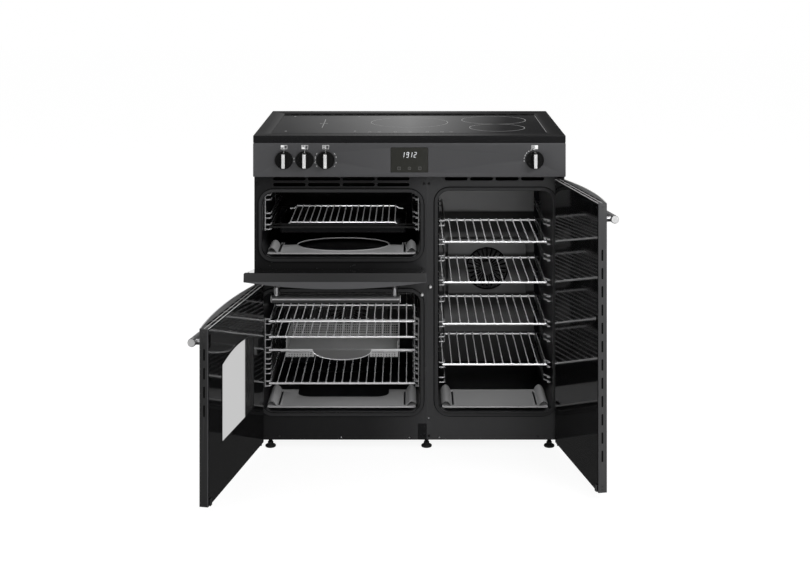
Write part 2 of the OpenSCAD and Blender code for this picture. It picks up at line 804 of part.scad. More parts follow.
// Inner panel, set just inside the skin
module door_inner(w, h)
    translate([-w / 2 + skin_t + gap, door_t - inner_t, skin_t + gap])
        cube([w - 2 * skin_t - 2 * gap, inner_t, h - 2 * skin_t - 2 * gap]);

// Handle: a round bar on two posts, which end on the bowed skin
module door_handle(w, h, length) difference() {
    union() {
        bar_x([-length / 2, -handle_reach, h - handle_drop], length, handle_d);
        for (side = [-1, 1])
            bar_y([side * (length / 2 - post_inset), -handle_reach, h - handle_drop],
                handle_reach, post_d);
    }
    linear_extrude(h) door_plan(w, 0);
}

// Cooling slots in the top edge of a door
module top_slots(w, h)
    for (row = [0, 1], i = [-4 : 4])
        translate([i * w / 10.5, 5 + 9 * row, h - skin_t - 1]) linear_extrude(skin_t + 2)
            slot(w / 13, 4);

// Cooling slots in the free edge of a side-hung door: side is -1 or 1
module edge_slots(w, side, z0, count)
    for (i = [0 : count - 1])
        translate([side * w / 2 - 5, door_t / 2, z0 + 48 * i]) rotate([0, 90, 0])
            linear_extrude(10) slot(30, 5);

// Hinge bush of a side-hung door, at one end of the door
bush_h = 20;
bush_w = 18;
bush_y = door_t - inner_t - bush_w;
module bush(x, z) difference() {
    translate([x - bush_w / 2, bush_y, z]) cube([bush_w, bush_w, bush_h]);
    bar_z([x, pivot_y - door_out_y, z - 1], bush_h + 2, pin_d + 2 * run_gap);
}

// Rounds the hinge-side corner about the pivot, so that the opening door clears the seals
corner_cut = 30;
module hinge_corner(x, side, h) translate([x, pivot_y - door_out_y, -1]) linear_extrude(h + 2)
    difference() {
        translate([side > 0 ? 0 : -corner_cut, 0]) square(corner_cut);
        circle(r = door_in_y - pivot_y, $fn = 96);
    }

module place_main() translate([main_pivot_x, pivot_y, 0]) rotate([0, 0, -side_open])
    translate([left_door_x - main_pivot_x, door_out_y - pivot_y, door_z]) children();
module place_tall() translate([tall_pivot_x, pivot_y, 0]) rotate([0, 0, side_open])
    translate([tall_door_x - tall_pivot_x, door_out_y - pivot_y, door_z]) children();
module place_grill() translate([0, grill_pivot_y, grill_pivot_z]) rotate([grill_open, 0, 0])
    translate([left_door_x, door_out_y - grill_pivot_y, -grill_foot]) children();

// Grill door: a lug of the frame reaches through a notch to each pivot
lug_w = 6;
lug_d = 11;
lug_inset = 24;
lug_x = [-left_door_w / 2 + lug_inset, left_door_w / 2 - lug_inset];
grill_pin_d = 6;
module lug_notches() for (x = lug_x)
    translate([x - lug_w / 2 - 1, grill_pivot_y - door_out_y - lug_d / 2 - 1, -1])
        cube([lug_w + 2, door_t, grill_foot + lug_d / 2 + 2]);

module grill_door_skin() color(anthracite) place_grill() difference() {
    door_skin(left_door_w, grill_h);
    lug_notches();
}
module grill_door_inner() color("black") place_grill() difference() {
    door_inner(left_door_w, grill_h);
    lug_notches();
}
module grill_door_handle() color(chrome) place_grill()
    door_handle(left_door_w, grill_h, handle_w);
module grill_door_hinges() color(steel) place_grill() for (x = lug_x) difference() {
    union() {
        translate([x - 20, door_t - inner_t - 2, grill_foot - 5]) cube([40, 2, 50]);
        for (side = [-1, 1]) translate([x + side * (lug_w / 2 + 1 + 6.5), 0, grill_foot]) {
            bar_x([-6, grill_pivot_y - door_out_y, 0], 12, lug_d);
            translate([-6, grill_pivot_y - door_out_y, -lug_d / 2])
                cube([12, door_t - inner_t - grill_pivot_y + door_out_y, lug_d]);
        }
    }
    lug_notches();
    bar_x([x - 30, grill_pivot_y - door_out_y, grill_foot], 60, grill_pin_d + 2 * run_gap);
}

// Main oven door, with its window
window_z = 132;
window_collar = 8;
module window_outline(grow) {
    r = (window_w * window_w / 4 + window_rise * window_rise) / (2 * window_rise);
    intersection() {
        translate([-window_w / 2 - grow, window_z - grow])
            square([window_w + 2 * grow, window_h + window_rise + 2 * grow]);
        translate([0, window_z + window_h + window_rise - r]) circle(r = r + grow, $fn = 200);
    }
}
catch_x = 9;
catch_drop = 32;
tall_catch_z = 473;
catch_w = 12;
catch_h = 36;
module catch_hole(x, z) upright(door_t - inner_t - 1, door_t + 1)
    translate([x, z]) rotate(90) slot(catch_h, catch_w);

module main_door_skin() color(anthracite) place_main() difference() {
    door_skin(left_door_w, main_door_h);
    upright(-door_bow - 1, door_t / 2) window_outline(0);
    translate([-left_door_w / 2 + pivot_inset, pivot_y - door_out_y, -1])
        cylinder(h = main_door_h + 2, d = pin_d + 4, $fn = 32);
    hinge_corner(-left_door_w / 2 + pivot_inset, -1, main_door_h);
    top_slots(left_door_w, main_door_h);
    edge_slots(left_door_w, 1, main_door_h - 210, 4);
}
module main_door_inner() color("black") place_main() difference() {
    union() {
        door_inner(left_door_w, main_door_h);
        upright(glass_pane_y + 4, door_t - inner_t) difference() {
            window_outline(window_collar);
            window_outline(0);
        }
    }
    upright(door_t / 2, door_t + 1) window_outline(0);
    hinge_corner(-left_door_w / 2 + pivot_inset, -1, main_door_h);
    catch_hole(left_door_w / 2 - catch_x, main_door_h - catch_drop);
}
module main_door_glass() color("lightblue", 0.4) place_main() {
    upright(glass_pane_y, glass_pane_y + 4) window_outline(window_collar);
    upright(door_t - inner_t, door_t) window_outline(-gap);
}
module main_door_handle() color(chrome) place_main()
    door_handle(left_door_w, main_door_h, handle_w);
module main_door_hinges() color(steel) place_main()
    for (z = [skin_t, main_door_h - skin_t - bush_h])
        bush(-left_door_w / 2 + pivot_inset, z);

// Tall oven door
module tall_door_skin() color(anthracite) place_tall() difference() {
    door_skin(tall_door_w, tall_door_h);
    translate([tall_door_w / 2 - pivot_inset, pivot_y - door_out_y, -1])
        cylinder(h = tall_door_h + 2, d = pin_d + 4, $fn = 32);
    hinge_corner(tall_door_w / 2 - pivot_inset, 1, tall_door_h);
    top_slots(tall_door_w, tall_door_h);
    edge_slots(tall_door_w, -1, 96, 12);
}
module tall_door_inner() color("black") place_tall() difference() {
    door_inner(tall_door_w, tall_door_h);
    hinge_corner(tall_door_w / 2 - pivot_inset, 1, tall_door_h);
    catch_hole(-tall_door_w / 2 + catch_x, tall_catch_z - door_z);
}
module tall_door_handle() color(chrome) place_tall()
    door_handle(tall_door_w, tall_door_h, tall_handle_w);
module tall_door_hinges() color(steel) place_tall()
    for (z = [skin_t, tall_door_h - skin_t - bush_h])
        bush(tall_door_w / 2 - pivot_inset, z);

// Brackets on the frame: a pin at the foot and head of each side-hung door, and two lugs
bracket_t = 3;
bracket_w = 20;
pin_gap = door_z - bracket_t - 3;
module foot_bracket(x) {
    y0 = pivot_y - 9;
    translate([x - bracket_w / 2, y0, pin_gap]) cube([bracket_w, 90, bracket_t]);
    translate([x - bracket_w / 2, frame_y + 4, pin_gap])
        cube([bracket_w, pivot_y - 9 + 90 - frame_y - 4, foot_h - pin_gap]);
    bar_z([x, pivot_y, pin_gap + 1], door_z + 16 - pin_gap, pin_d);
}
module head_bracket(x, z) {
    translate([x - bracket_w / 2, pivot_y - 9, z]) cube([bracket_w, frame_y - pivot_y + 9, bracket_t]);
    bar_z([x, pivot_y, z + 1 - 18], 18, pin_d);
}
module hinge_brackets() color(steel) {
    foot_bracket(main_pivot_x);
    foot_bracket(tall_pivot_x);
    head_bracket(main_pivot_x, main_door_top + 2);
    head_bracket(tall_pivot_x, door_top + 2);
    for (x = lug_x) {
        translate([left_door_x + x - lug_w / 2, grill_pivot_y, grill_pivot_z - lug_d / 2])
            cube([lug_w, frame_y - grill_pivot_y, lug_d]);
        bar_x([left_door_x + x - lug_w / 2, grill_pivot_y, grill_pivot_z], lug_w, lug_d);
        bar_x([left_door_x + x - 13, grill_pivot_y, grill_pivot_z], 26, grill_pin_d);
    }
}

// Domed pins on the frame, which the door catches grip
strikes = [
    [left_door_x + left_door_w / 2 - catch_x, main_door_top - catch_drop],
    [tall_door_x - tall_door_w / 2 + catch_x, tall_catch_z]
];
module strike_pins() color(chrome) for (strike = strikes) {
    bar_y([strike[0], frame_y - 9, strike[1]], 9, 8);
    translate([strike[0], frame_y - 9, strike[1]]) sphere(d = 8, $fn = 32);
}

hob_frame();
hob_glass();
hob_vent_grille();
induction_coils();
hob_power_module();
control_fascia();
display_window();
timer_module();
control_switches();
knob_top_oven();
knob_main_function();
knob_main_heat();
knob_tall_oven();
side_panel_left();
side_panel_right();
back_panel();
base_plate();
front_frame_left();
front_frame_right();
levelling_feet();
frame_screws();
terminal_box();
cable_gland();
top_oven_liner();
main_oven_liner();
tall_oven_liner();
door_seals();
oven_floor_plates();
side_racks();
lamp_lenses();
grill_element();
fan_heaters();
fan_covers();
fan_motors();
main_fan();
tall_fan();
hinge_brackets();
strike_pins();
grill_door_skin();
grill_door_inner();
grill_door_handle();
grill_door_hinges();
main_door_skin();
main_door_inner();
main_door_glass();
main_door_handle();
main_door_hinges();
tall_door_skin();
tall_door_inner();
tall_door_handle();
tall_door_hinges();
main_shelf_low();
main_shelf_mid();
main_shelf_high();
roasting_tray();
tall_shelf_1();
tall_shelf_2();
tall_shelf_3();
tall_shelf_4();
grill_pan();
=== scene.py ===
"""Looks of a 90 cm electric range cooker with its three doors open.

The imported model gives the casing, doors, racks and shelves. This script dresses every surface and
adds the fine pieces: rounded edges, knobs, printed marks, the display, trays, handles and screws.
The classes of the cooker's own parts hold lengths in millimetres; the finishes, the camera, the
lamps and the studio hold them in metres. All count in the frame of the model: X to the right, Y to
the back, Z up, the origin on the floor under the middle of the cooker.
"""

import json
import logging
import math
from dataclasses import dataclass
from enum import Enum
from typing import Iterable, Sequence

import bmesh
import bpy
from mathutils import Matrix, Vector

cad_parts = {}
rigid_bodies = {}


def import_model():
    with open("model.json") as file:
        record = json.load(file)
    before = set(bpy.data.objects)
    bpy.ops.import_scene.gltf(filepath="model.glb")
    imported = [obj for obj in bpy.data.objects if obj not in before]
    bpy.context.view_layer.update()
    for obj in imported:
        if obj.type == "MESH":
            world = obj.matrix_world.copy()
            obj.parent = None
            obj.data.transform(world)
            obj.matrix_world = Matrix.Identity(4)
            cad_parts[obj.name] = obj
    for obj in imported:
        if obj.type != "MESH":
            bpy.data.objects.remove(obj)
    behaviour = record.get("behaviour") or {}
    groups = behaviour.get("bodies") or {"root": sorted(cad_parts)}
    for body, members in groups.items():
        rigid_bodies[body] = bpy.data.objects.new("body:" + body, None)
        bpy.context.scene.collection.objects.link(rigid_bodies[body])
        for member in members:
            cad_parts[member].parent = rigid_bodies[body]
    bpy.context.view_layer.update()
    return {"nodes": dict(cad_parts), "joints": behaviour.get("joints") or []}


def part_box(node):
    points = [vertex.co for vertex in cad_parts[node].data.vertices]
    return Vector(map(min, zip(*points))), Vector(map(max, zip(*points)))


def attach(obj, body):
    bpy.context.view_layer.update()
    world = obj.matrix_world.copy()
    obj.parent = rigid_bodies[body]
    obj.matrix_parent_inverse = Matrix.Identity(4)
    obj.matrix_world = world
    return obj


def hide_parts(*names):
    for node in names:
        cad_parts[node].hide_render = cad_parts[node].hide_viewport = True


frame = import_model()

LOG = logging.getLogger("range_cooker")
MM = 0.001
WHITE = (1.0, 1.0, 1.0, 1.0)
Point = tuple[float, float, float]
Flat = tuple[float, float]
Colour = tuple[float, float, float]
Socket = bpy.types.NodeSocket

# -------- node trees


class Graph:
    """A node tree that is being built, with nodes and links added in one call."""

    def __init__(self, tree: bpy.types.NodeTree) -> None:
        """Starts from an empty tree.

        Args:
            tree: The shader or geometry tree to fill.
        """
        self.tree = tree
        tree.nodes.clear()

    def add(self, kind: str, inputs: dict | None = None, **settings: object) -> bpy.types.Node:
        """Adds one node.

        Args:
            kind: The node's type name.
            inputs: Values or output sockets for the node's inputs, by name or number.
            settings: The node's own properties.

        Returns:
            The new node.
        """
        node = self.tree.nodes.new(kind)
        for name, value in settings.items():
            setattr(node, name, value)
        for name, value in (inputs or {}).items():
            socket = node.inputs[name]
            if isinstance(value, Socket):
                self.tree.links.new(value, socket)
            else:
                socket.default_value = value
        return node

    def out(self, kind: str, inputs: dict | None = None, **settings: object) -> Socket:
        """Adds one node and returns its first output."""
        return self.add(kind, inputs, **settings).outputs[0]

    def math(self, operation: str, *values: object) -> Socket:
        """Adds a Math node and returns its result."""
        return self.out("ShaderNodeMath", dict(enumerate(values)), operation=operation)

    def place(self) -> Socket:
        """Adds a node that gives a point's place in its object."""
        return self.add("ShaderNodeTexCoord").outputs["Object"]

    def along(self, axis: str) -> Socket:
        """Adds nodes that give a point's place along one axis of its object."""
        return self.add("ShaderNodeSeparateXYZ", {0: self.place()}).outputs[axis]

    def glow(self, strength: object) -> Socket:
        """Adds a white light of a given strength."""
        return self.out("ShaderNodeEmission", {"Color": WHITE, "Strength": strength})

    def ramp(self, share: Socket, stops: Sequence[Flat]) -> Socket:
        """Adds a ramp of greys.

        Args:
            share: A value from 0 to 1 along the ramp.
            stops: Place on the ramp and brightness of each stop.

        Returns:
            The grey at that value.
        """
        node = self.add("ShaderNodeValToRGB", {0: share})
        made = node.color_ramp.elements
        while len(made) < len(stops):
            made.new(0.5)
        for stop, (at, level) in zip(made, stops):
            stop.position = at
            stop.color = (level, level, level, 1.0)
        return node.outputs[0]


def add_sockets(tree: bpy.types.NodeTree, way: str, sockets: dict[str, str]) -> None:
    """Gives a node tree its inputs or outputs.

    Args:
        tree: The shader or geometry tree.
        way: INPUT or OUTPUT.
        sockets: The type of each socket, such as Float, by its name.
    """
    for name, kind in sockets.items():
        tree.interface.new_socket(name, in_out=way, socket_type=f"NodeSocket{kind}")


# -------- finishes


class Grain(Enum):
    """The fine structure that a surface shows from close by."""

    SPRAYED = "sprayed"
    FLECKED = "flecked"
    BRUSHED = "brushed"
    SPANGLED = "spangled"


class GrainGroups:
    """Shader node groups, one for each grain, that give colour, roughness and height."""

    INPUTS = {"Colour": "Color", **dict.fromkeys(("Drift", "Roughness", "Smudge", "Scale"), "Float")}
    OUTPUTS = {"Colour": "Color", "Roughness": "Float", "Height": "Float"}
    SMUDGE = {"Scale": 7.0, "Detail": 5.0, "Roughness": 0.65}
    SPRAY = {"Detail": 4.0, "Roughness": 0.6}
    BRUSH = {"Detail": 3.0}
    BRUSH_STRETCH = (0.04, 1.0, 1.0)
    FLECK_POWER = 3.0
    FLECK_REACH = 0.45

    def __init__(self) -> None:
        """Builds every group."""
        self.made = {grain: self._build(grain) for grain in Grain}

    def _pattern(self, graph: Graph, grain: Grain, place: Socket, scale: Socket) -> Socket:
        """Adds the texture nodes of one grain and returns a value from 0 to 1."""
        if grain is Grain.BRUSHED:
            place = graph.out("ShaderNodeMapping", {"Vector": place, "Scale": self.BRUSH_STRETCH})
            return graph.out("ShaderNodeTexNoise", {"Vector": place, "Scale": scale, **self.BRUSH})
        if grain is Grain.SPRAYED:
            return graph.out("ShaderNodeTexNoise", {"Vector": place, "Scale": scale, **self.SPRAY})
        cells = graph.add("ShaderNodeTexVoronoi", {"Vector": place, "Scale": scale}).outputs
        tone = graph.out("ShaderNodeSeparateColor", {0: cells["Color"]})
        if grain is Grain.SPANGLED:
            return tone
        reach = graph.math("MULTIPLY", graph.math("POWER", tone, self.FLECK_POWER), self.FLECK_REACH)
        return graph.math("LESS_THAN", cells["Distance"], reach)

    def _build(self, grain: Grain) -> bpy.types.NodeTree:
        """Builds one group: the pattern shifts the colour, and slow smudges shift the gloss."""
        tree = bpy.data.node_groups.new(f"grain_{grain.value}", "ShaderNodeTree")
        add_sockets(tree, "INPUT", self.INPUTS)
        add_sockets(tree, "OUTPUT", self.OUTPUTS)
        graph = Graph(tree)
        given = graph.add("NodeGroupInput").outputs
        place = graph.place()
        pattern = self._pattern(graph, grain, place, given["Scale"])
        noise = graph.out("ShaderNodeTexNoise", {"Vector": place, **self.SMUDGE})
        slow = graph.math("SUBTRACT", noise, 0.5)
        fine = graph.math("SUBTRACT", pattern, 0.0 if grain is Grain.FLECKED else 0.5)
        value = graph.math("MULTIPLY_ADD", graph.math("ADD", fine, slow), given["Drift"], 1.0)
        toned = graph.out("ShaderNodeHueSaturation", {"Value": value, "Color": given["Colour"]})
        rough = graph.math("ADD", given["Roughness"], graph.math("MULTIPLY", slow, given["Smudge"]))
        graph.add("NodeGroupOutput", {"Colour": toned, "Roughness": rough, "Height": pattern})
        return tree


@dataclass(frozen=True)
class Finish:
    """How one surface looks, as plain numbers.

    Attributes:
        colour: Linear base colour.
        roughness: Mean roughness.
        metallic: 1 for bare metal.
        grain: The fine structure.
        scale: Size of the structure, in features per metre.
        drift: Share by which the structure shifts the colour.
        smudge: How far slow smudges shift the roughness.
        relief: Strength of the bump.
        coat: Weight of a clear coat.
        specular: Strength of the plain reflection, 0.5 for common glass and paint.
        alpha: Below 1 where light passes straight through.
        glow: Emission strength of a lit mark.
        painted_sheen: Brightness of a painted reflection: a glowing pale sheen on a pane where it is looked
            along.
        painted_sheen_end: Depth behind which the painted sheen stops, where the frame round the pane
            stands.
        shade_bands: Painted shade: places along an axis and shares of the colour there, darker where shade
            falls.
        shade_bands_axis: The axis of the painted shade, X, Y or Z.
        shade_bands_from: Place where the painted shade's range begins.
    """

    RELIEF_DEPTH = 0.2 * MM
    COAT_ROUGHNESS = 0.04
    PAINTED_SHEEN_RANGE = {"From Min": 0.5, "From Max": 0.64, "To Max": 0.92}
    SHADE_BANDS_SPAN = 0.8

    colour: Colour
    roughness: float = 0.4
    metallic: float = 0.0
    grain: Grain = Grain.SPRAYED
    scale: float = 400.0
    drift: float = 0.15
    smudge: float = 0.1
    relief: float = 0.1
    coat: float = 0.0
    specular: float = 0.5
    alpha: float = 1.0
    glow: float = 0.0
    painted_sheen: float = 0.0
    painted_sheen_end: float = 0.0
    shade_bands: tuple[Flat, ...] = ()
    shade_bands_axis: str = "Z"
    shade_bands_from: float = 0.0

    def material(self, name: str, groups: GrainGroups) -> bpy.types.Material:
        """Makes the material.

        Args:
            name: The material's name.
            groups: The shared shader groups.

        Returns:
            A node material with this finish.
        """
        material = bpy.data.materials.new(name)
        material.use_nodes = True
        graph = Graph(material.node_tree)
        paint = (*self.colour, 1.0)
        names = ("Colour", "Roughness", "Drift", "Smudge", "Scale")
        given = dict(zip(names, (paint, self.roughness, self.drift, self.smudge, self.scale)))
        grain = graph.add("ShaderNodeGroup", given, node_tree=groups.made[self.grain]).outputs
        bump = {"Height": grain["Height"], "Strength": self.relief, "Distance": self.RELIEF_DEPTH}
        skin = {
            # Where bands are given, shade is painted into the base colour.
            "Base Color": self._paint_shade(graph, grain["Colour"]) if self.shade_bands else grain["Colour"],
            "Roughness": grain["Roughness"],
            "Normal": graph.out("ShaderNodeBump", bump),
            "Metallic": self.metallic,
            "Coat Weight": self.coat,
            "Coat Roughness": self.COAT_ROUGHNESS,
            "Specular IOR Level": self.specular,
            "Alpha": self.alpha,
            "Emission Color": paint,
            "Emission Strength": self.glow,
        }
        surface = graph.out("ShaderNodeBsdfPrincipled", skin)
        if self.painted_sheen:
            surface = self._paint_sheen(graph, surface)
        graph.add("ShaderNodeOutputMaterial", {"Surface": surface})
        return material

    def _paint_sheen(self, graph: Graph, surface: Socket) -> Socket:
        """Paints a reflection: a glowing pale sheen on a pane where it is looked along. Returns the result.
        """
        facing = graph.add("ShaderNodeLayerWeight", {"Blend": 0.5}).outputs["Facing"]
        spread = {"Value": facing, **self.PAINTED_SHEEN_RANGE}
        share = graph.out("ShaderNodeMapRange", spread, interpolation_type="SMOOTHSTEP")
        share = graph.math("MULTIPLY", share, graph.math("LESS_THAN", graph.along("Y"), self.painted_sheen_end))
        return graph.out("ShaderNodeMixShader", {0: share, 1: surface, 2: graph.glow(self.painted_sheen)})

    def _paint_shade(self, graph: Graph, colour: Socket) -> Socket:
        """Paints shade into a colour: darkens it by a ramp along one axis, and returns it."""
        along = graph.math("SUBTRACT", graph.along(self.shade_bands_axis), self.shade_bands_from)
        stops = [((at - self.shade_bands_from) / self.SHADE_BANDS_SPAN, level) for at, level in self.shade_bands]
        level = graph.ramp(graph.math("DIVIDE", along, self.SHADE_BANDS_SPAN), stops)
        mixed = {0: 1.0, 6: colour, 7: level}
        return graph.add("ShaderNodeMix", mixed, data_type="RGBA", blend_type="MULTIPLY").outputs[2]


FINISHES: dict[str, Finish] = {
    "black_enamel": Finish((0.009, 0.009, 0.0095), 0.24, drift=0.2, relief=0.12, specular=0.35),
    # The left front frame: painted shade, darker towards its left end, where the open doors shade it.
    "frame_enamel": Finish(
        (0.034, 0.034, 0.035), 0.26, drift=0.2, relief=0.12, specular=0.35, shade_bands_axis="X", shade_bands_from=-0.5,
        shade_bands=((-0.45, 0.36), (-0.12, 0.4), (0.0, 0.75), (0.045, 1.0)),
    ),
    "door_panel": Finish((0.004, 0.004, 0.0042), 0.06, drift=0.2, relief=0.01, smudge=0.03),
    # Darker copies of the doors' enamel; on the free edges they are painted shade, darkest on the main and
    # grill doors.
    "edge_dark": Finish((0.02, 0.02, 0.0205), 0.4, scale=900, drift=0.1, relief=0.2),
    "edge_mid": Finish((0.044, 0.044, 0.045), 0.4, scale=900, drift=0.1, relief=0.2),
    # Near black: the hob's vent grille, and painted shade behind the doors' slots and in the grooves round
    # the mouths.
    "vent_black": Finish((0.0025, 0.0025, 0.0025), 0.7, relief=0.1, specular=0.1),
    "charcoal_enamel": Finish((0.036, 0.036, 0.037), 0.3, drift=0.12, relief=0.12, specular=0.35),
    "anthracite": Finish((0.059, 0.059, 0.062), 0.42, scale=900, drift=0.1, relief=0.25),
    "skin_anthracite": Finish((0.06, 0.06, 0.063), 0.42, scale=900, drift=0.1, relief=0.25, coat=1.0),
    "ceramic_glass": Finish((0.006, 0.006, 0.007), 0.1, drift=0.3, relief=0.02, smudge=0.12),
    "display_glass": Finish((0.026, 0.026, 0.023), 0.12, drift=0.2, relief=0.02),
    # The window's pane: its pale sheen is a painted reflection that glows.
    "clear_glass": Finish(
        (0.1, 0.1, 0.1), 0.05, drift=0.02, relief=0.0, alpha=0.12, painted_sheen=0.57, painted_sheen_end=-0.4595
    ),
    "lamp_glass": Finish((0.8, 0.78, 0.7), 0.25, drift=0.05, relief=0.1),
    "knob_black": Finish((0.008, 0.008, 0.008), 0.28, scale=700, relief=0.1),
    "black_plastic": Finish((0.014, 0.014, 0.014), 0.5, scale=1200, relief=0.3),
    "seal_rubber": Finish((0.022, 0.022, 0.023), 0.6, scale=1500, relief=0.5),
    "liner_enamel": Finish(
        (0.008, 0.008, 0.009), 0.3, grain=Grain.FLECKED, scale=260, drift=1.6, specular=0.22
    ),
    "grey_enamel": Finish((0.22, 0.22, 0.222), 0.34, scale=500, drift=0.14, relief=0.14),
    "galvanised": Finish((0.5, 0.51, 0.53), 0.38, 1.0, Grain.SPANGLED, scale=110, relief=0.03),
    "steel": Finish((0.42, 0.42, 0.43), 0.34, 1.0, scale=600, relief=0.1),
    "pan_frame": Finish((0.03, 0.03, 0.03), 0.35, 0.5, scale=600, relief=0.1),
    "dark_steel": Finish((0.09, 0.09, 0.09), 0.4, 1.0, scale=600, relief=0.1),
    "tray_steel": Finish((0.3, 0.3, 0.3), 0.36, 0.3, scale=500, relief=0.1),
    "chrome_wire": Finish((0.72, 0.72, 0.73), 0.26, 0.5, scale=900, relief=0.06),
    # The mid and high shelves' wire: painted shade, near black towards the back, where the open grill door
    # shades them.
    "baked_wire": Finish(
        (0.72, 0.72, 0.73), 0.26, 0.5, scale=900, relief=0.06, shade_bands_axis="Y", shade_bands_from=-0.5,
        shade_bands=((-0.3, 1.0), (-0.025, 1.0), (-0.018, 0.05), (0.2, 0.04)),
    ),
    # The racks' guides: a darker copy of their wire, painted shade deeper in the oven.
    "guide_wire": Finish((0.16, 0.16, 0.162), 0.34, 0.6, scale=900, relief=0.06),
    "rack_wire": Finish((0.4, 0.4, 0.405), 0.3, 0.5, scale=900, relief=0.06),
    # The tall oven's back: painted shadows of the shelves, a dark band below each shelf level.
    "back_sheet": Finish(
        (0.27, 0.27, 0.272), 0.4, drift=0.1, relief=0.1, specular=0.2,
        shade_bands=(
            (0.11, 0.17), (0.207, 0.2), (0.213, 0.7), (0.262, 0.7), (0.3, 0.12), (0.338, 0.12),
            (0.344, 0.7), (0.38, 0.7), (0.42, 0.2), (0.464, 0.2), (0.471, 1.0), (0.512, 0.95),
            (0.535, 0.12), (0.56, 0.1), (0.597, 0.08), (0.602, 1.0), (0.745, 0.85),
        ),
    ),
    "grip_steel": Finish((0.1, 0.1, 0.1), 0.36, 0.3, scale=500, relief=0.1),
    # Pale grey of the handles' end caps; also painted highlight on the strike pins and the doors' heads.
    "bar_cap": Finish((0.6, 0.6, 0.6), 0.34, 0.2, scale=900, relief=0.05),
    "handle_chrome": Finish((0.4, 0.4, 0.405), 0.34, 1.0, Grain.BRUSHED, scale=900),
    "copper": Finish((0.6, 0.28, 0.14), 0.3, 1.0, Grain.BRUSHED, scale=500),
    "hob_enamel": Finish((0.01, 0.01, 0.0105), 0.2, drift=0.15, relief=0.05, specular=0.36),
    "knob_inlay": Finish((0.8, 0.8, 0.8), 0.25, 0.3, scale=900, relief=0.04),
    "print_grey": Finish((0.3, 0.3, 0.3), 0.5, scale=2000, relief=0.05),
    "print_white": Finish((0.85, 0.85, 0.85), 0.45, scale=2000, relief=0.05),
    "lit_digit": Finish((0.75, 0.77, 0.8), 0.4, drift=0.05, glow=0.35),
    "dim_icon": Finish((0.09, 0.09, 0.085), 0.4, drift=0.05),
}


class Finishes:
    """The materials of the cooker, each made once."""

    def __init__(self) -> None:
        """Makes every material in the list."""
        groups = GrainGroups()
        self.made = {name: spec.material(name, groups) for name, spec in FINISHES.items()}

    def __getitem__(self, name: str) -> bpy.types.Material:
        """Gives a material by its finish's name."""
        return self.made[name]


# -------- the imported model


FINISH_NODES: dict[str, str] = {
    "black_enamel": "hob_frame side_panel_left side_panel_right fan_heaters main_fan tall_fan grill_pan",
    "ceramic_glass": "hob_glass",
    "vent_black": "hob_vent_grille",
    "copper": "induction_coils",
    "galvanised": "hob_power_module back_panel base_plate fan_motors",
    "anthracite": "control_fascia",
    "display_glass": "display_window",
    "black_plastic": "timer_module control_switches levelling_feet terminal_box cable_gland",
    "knob_black": "knob_top_oven knob_main_function knob_main_heat knob_tall_oven",
    "frame_enamel": "front_frame_left",
    "charcoal_enamel": "front_frame_right fan_covers",
    "dark_steel": (
        "frame_screws grill_element hinge_brackets grill_door_hinges main_door_hinges tall_door_hinges"
    ),
    "liner_enamel": "top_oven_liner main_oven_liner tall_oven_liner",
    "seal_rubber": "door_seals",
    "grey_enamel": "oven_floor_plates",
    "lamp_glass": "lamp_lenses",
    # The strike pins are pale as a painted highlight.
    "bar_cap": "strike_pins",
    "skin_anthracite": "grill_door_skin main_door_skin tall_door_skin",
    "door_panel": "grill_door_inner main_door_inner tall_door_inner",
    "clear_glass": "main_door_glass",
    "handle_chrome": "grill_door_handle main_door_handle tall_door_handle",
    "chrome_wire": "side_racks main_shelf_low tall_shelf_1 tall_shelf_2 tall_shelf_3 tall_shelf_4",
    "baked_wire": "main_shelf_mid main_shelf_high",
    "tray_steel": "roasting_tray",
}
NODE_FINISH = {node: finish for finish, nodes in FINISH_NODES.items() for node in nodes.split()}


def dress_nodes(finishes: Finishes) -> None:
    """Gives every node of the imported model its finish.

    Args:
        finishes: The materials.
    """
    for name, node in frame["nodes"].items():
        material = finishes[NODE_FINISH[name]]
        if not node.material_slots:
            node.data.materials.append(material)
        for slot in node.material_slots:
            slot.material = material


# -------- repeated shapes


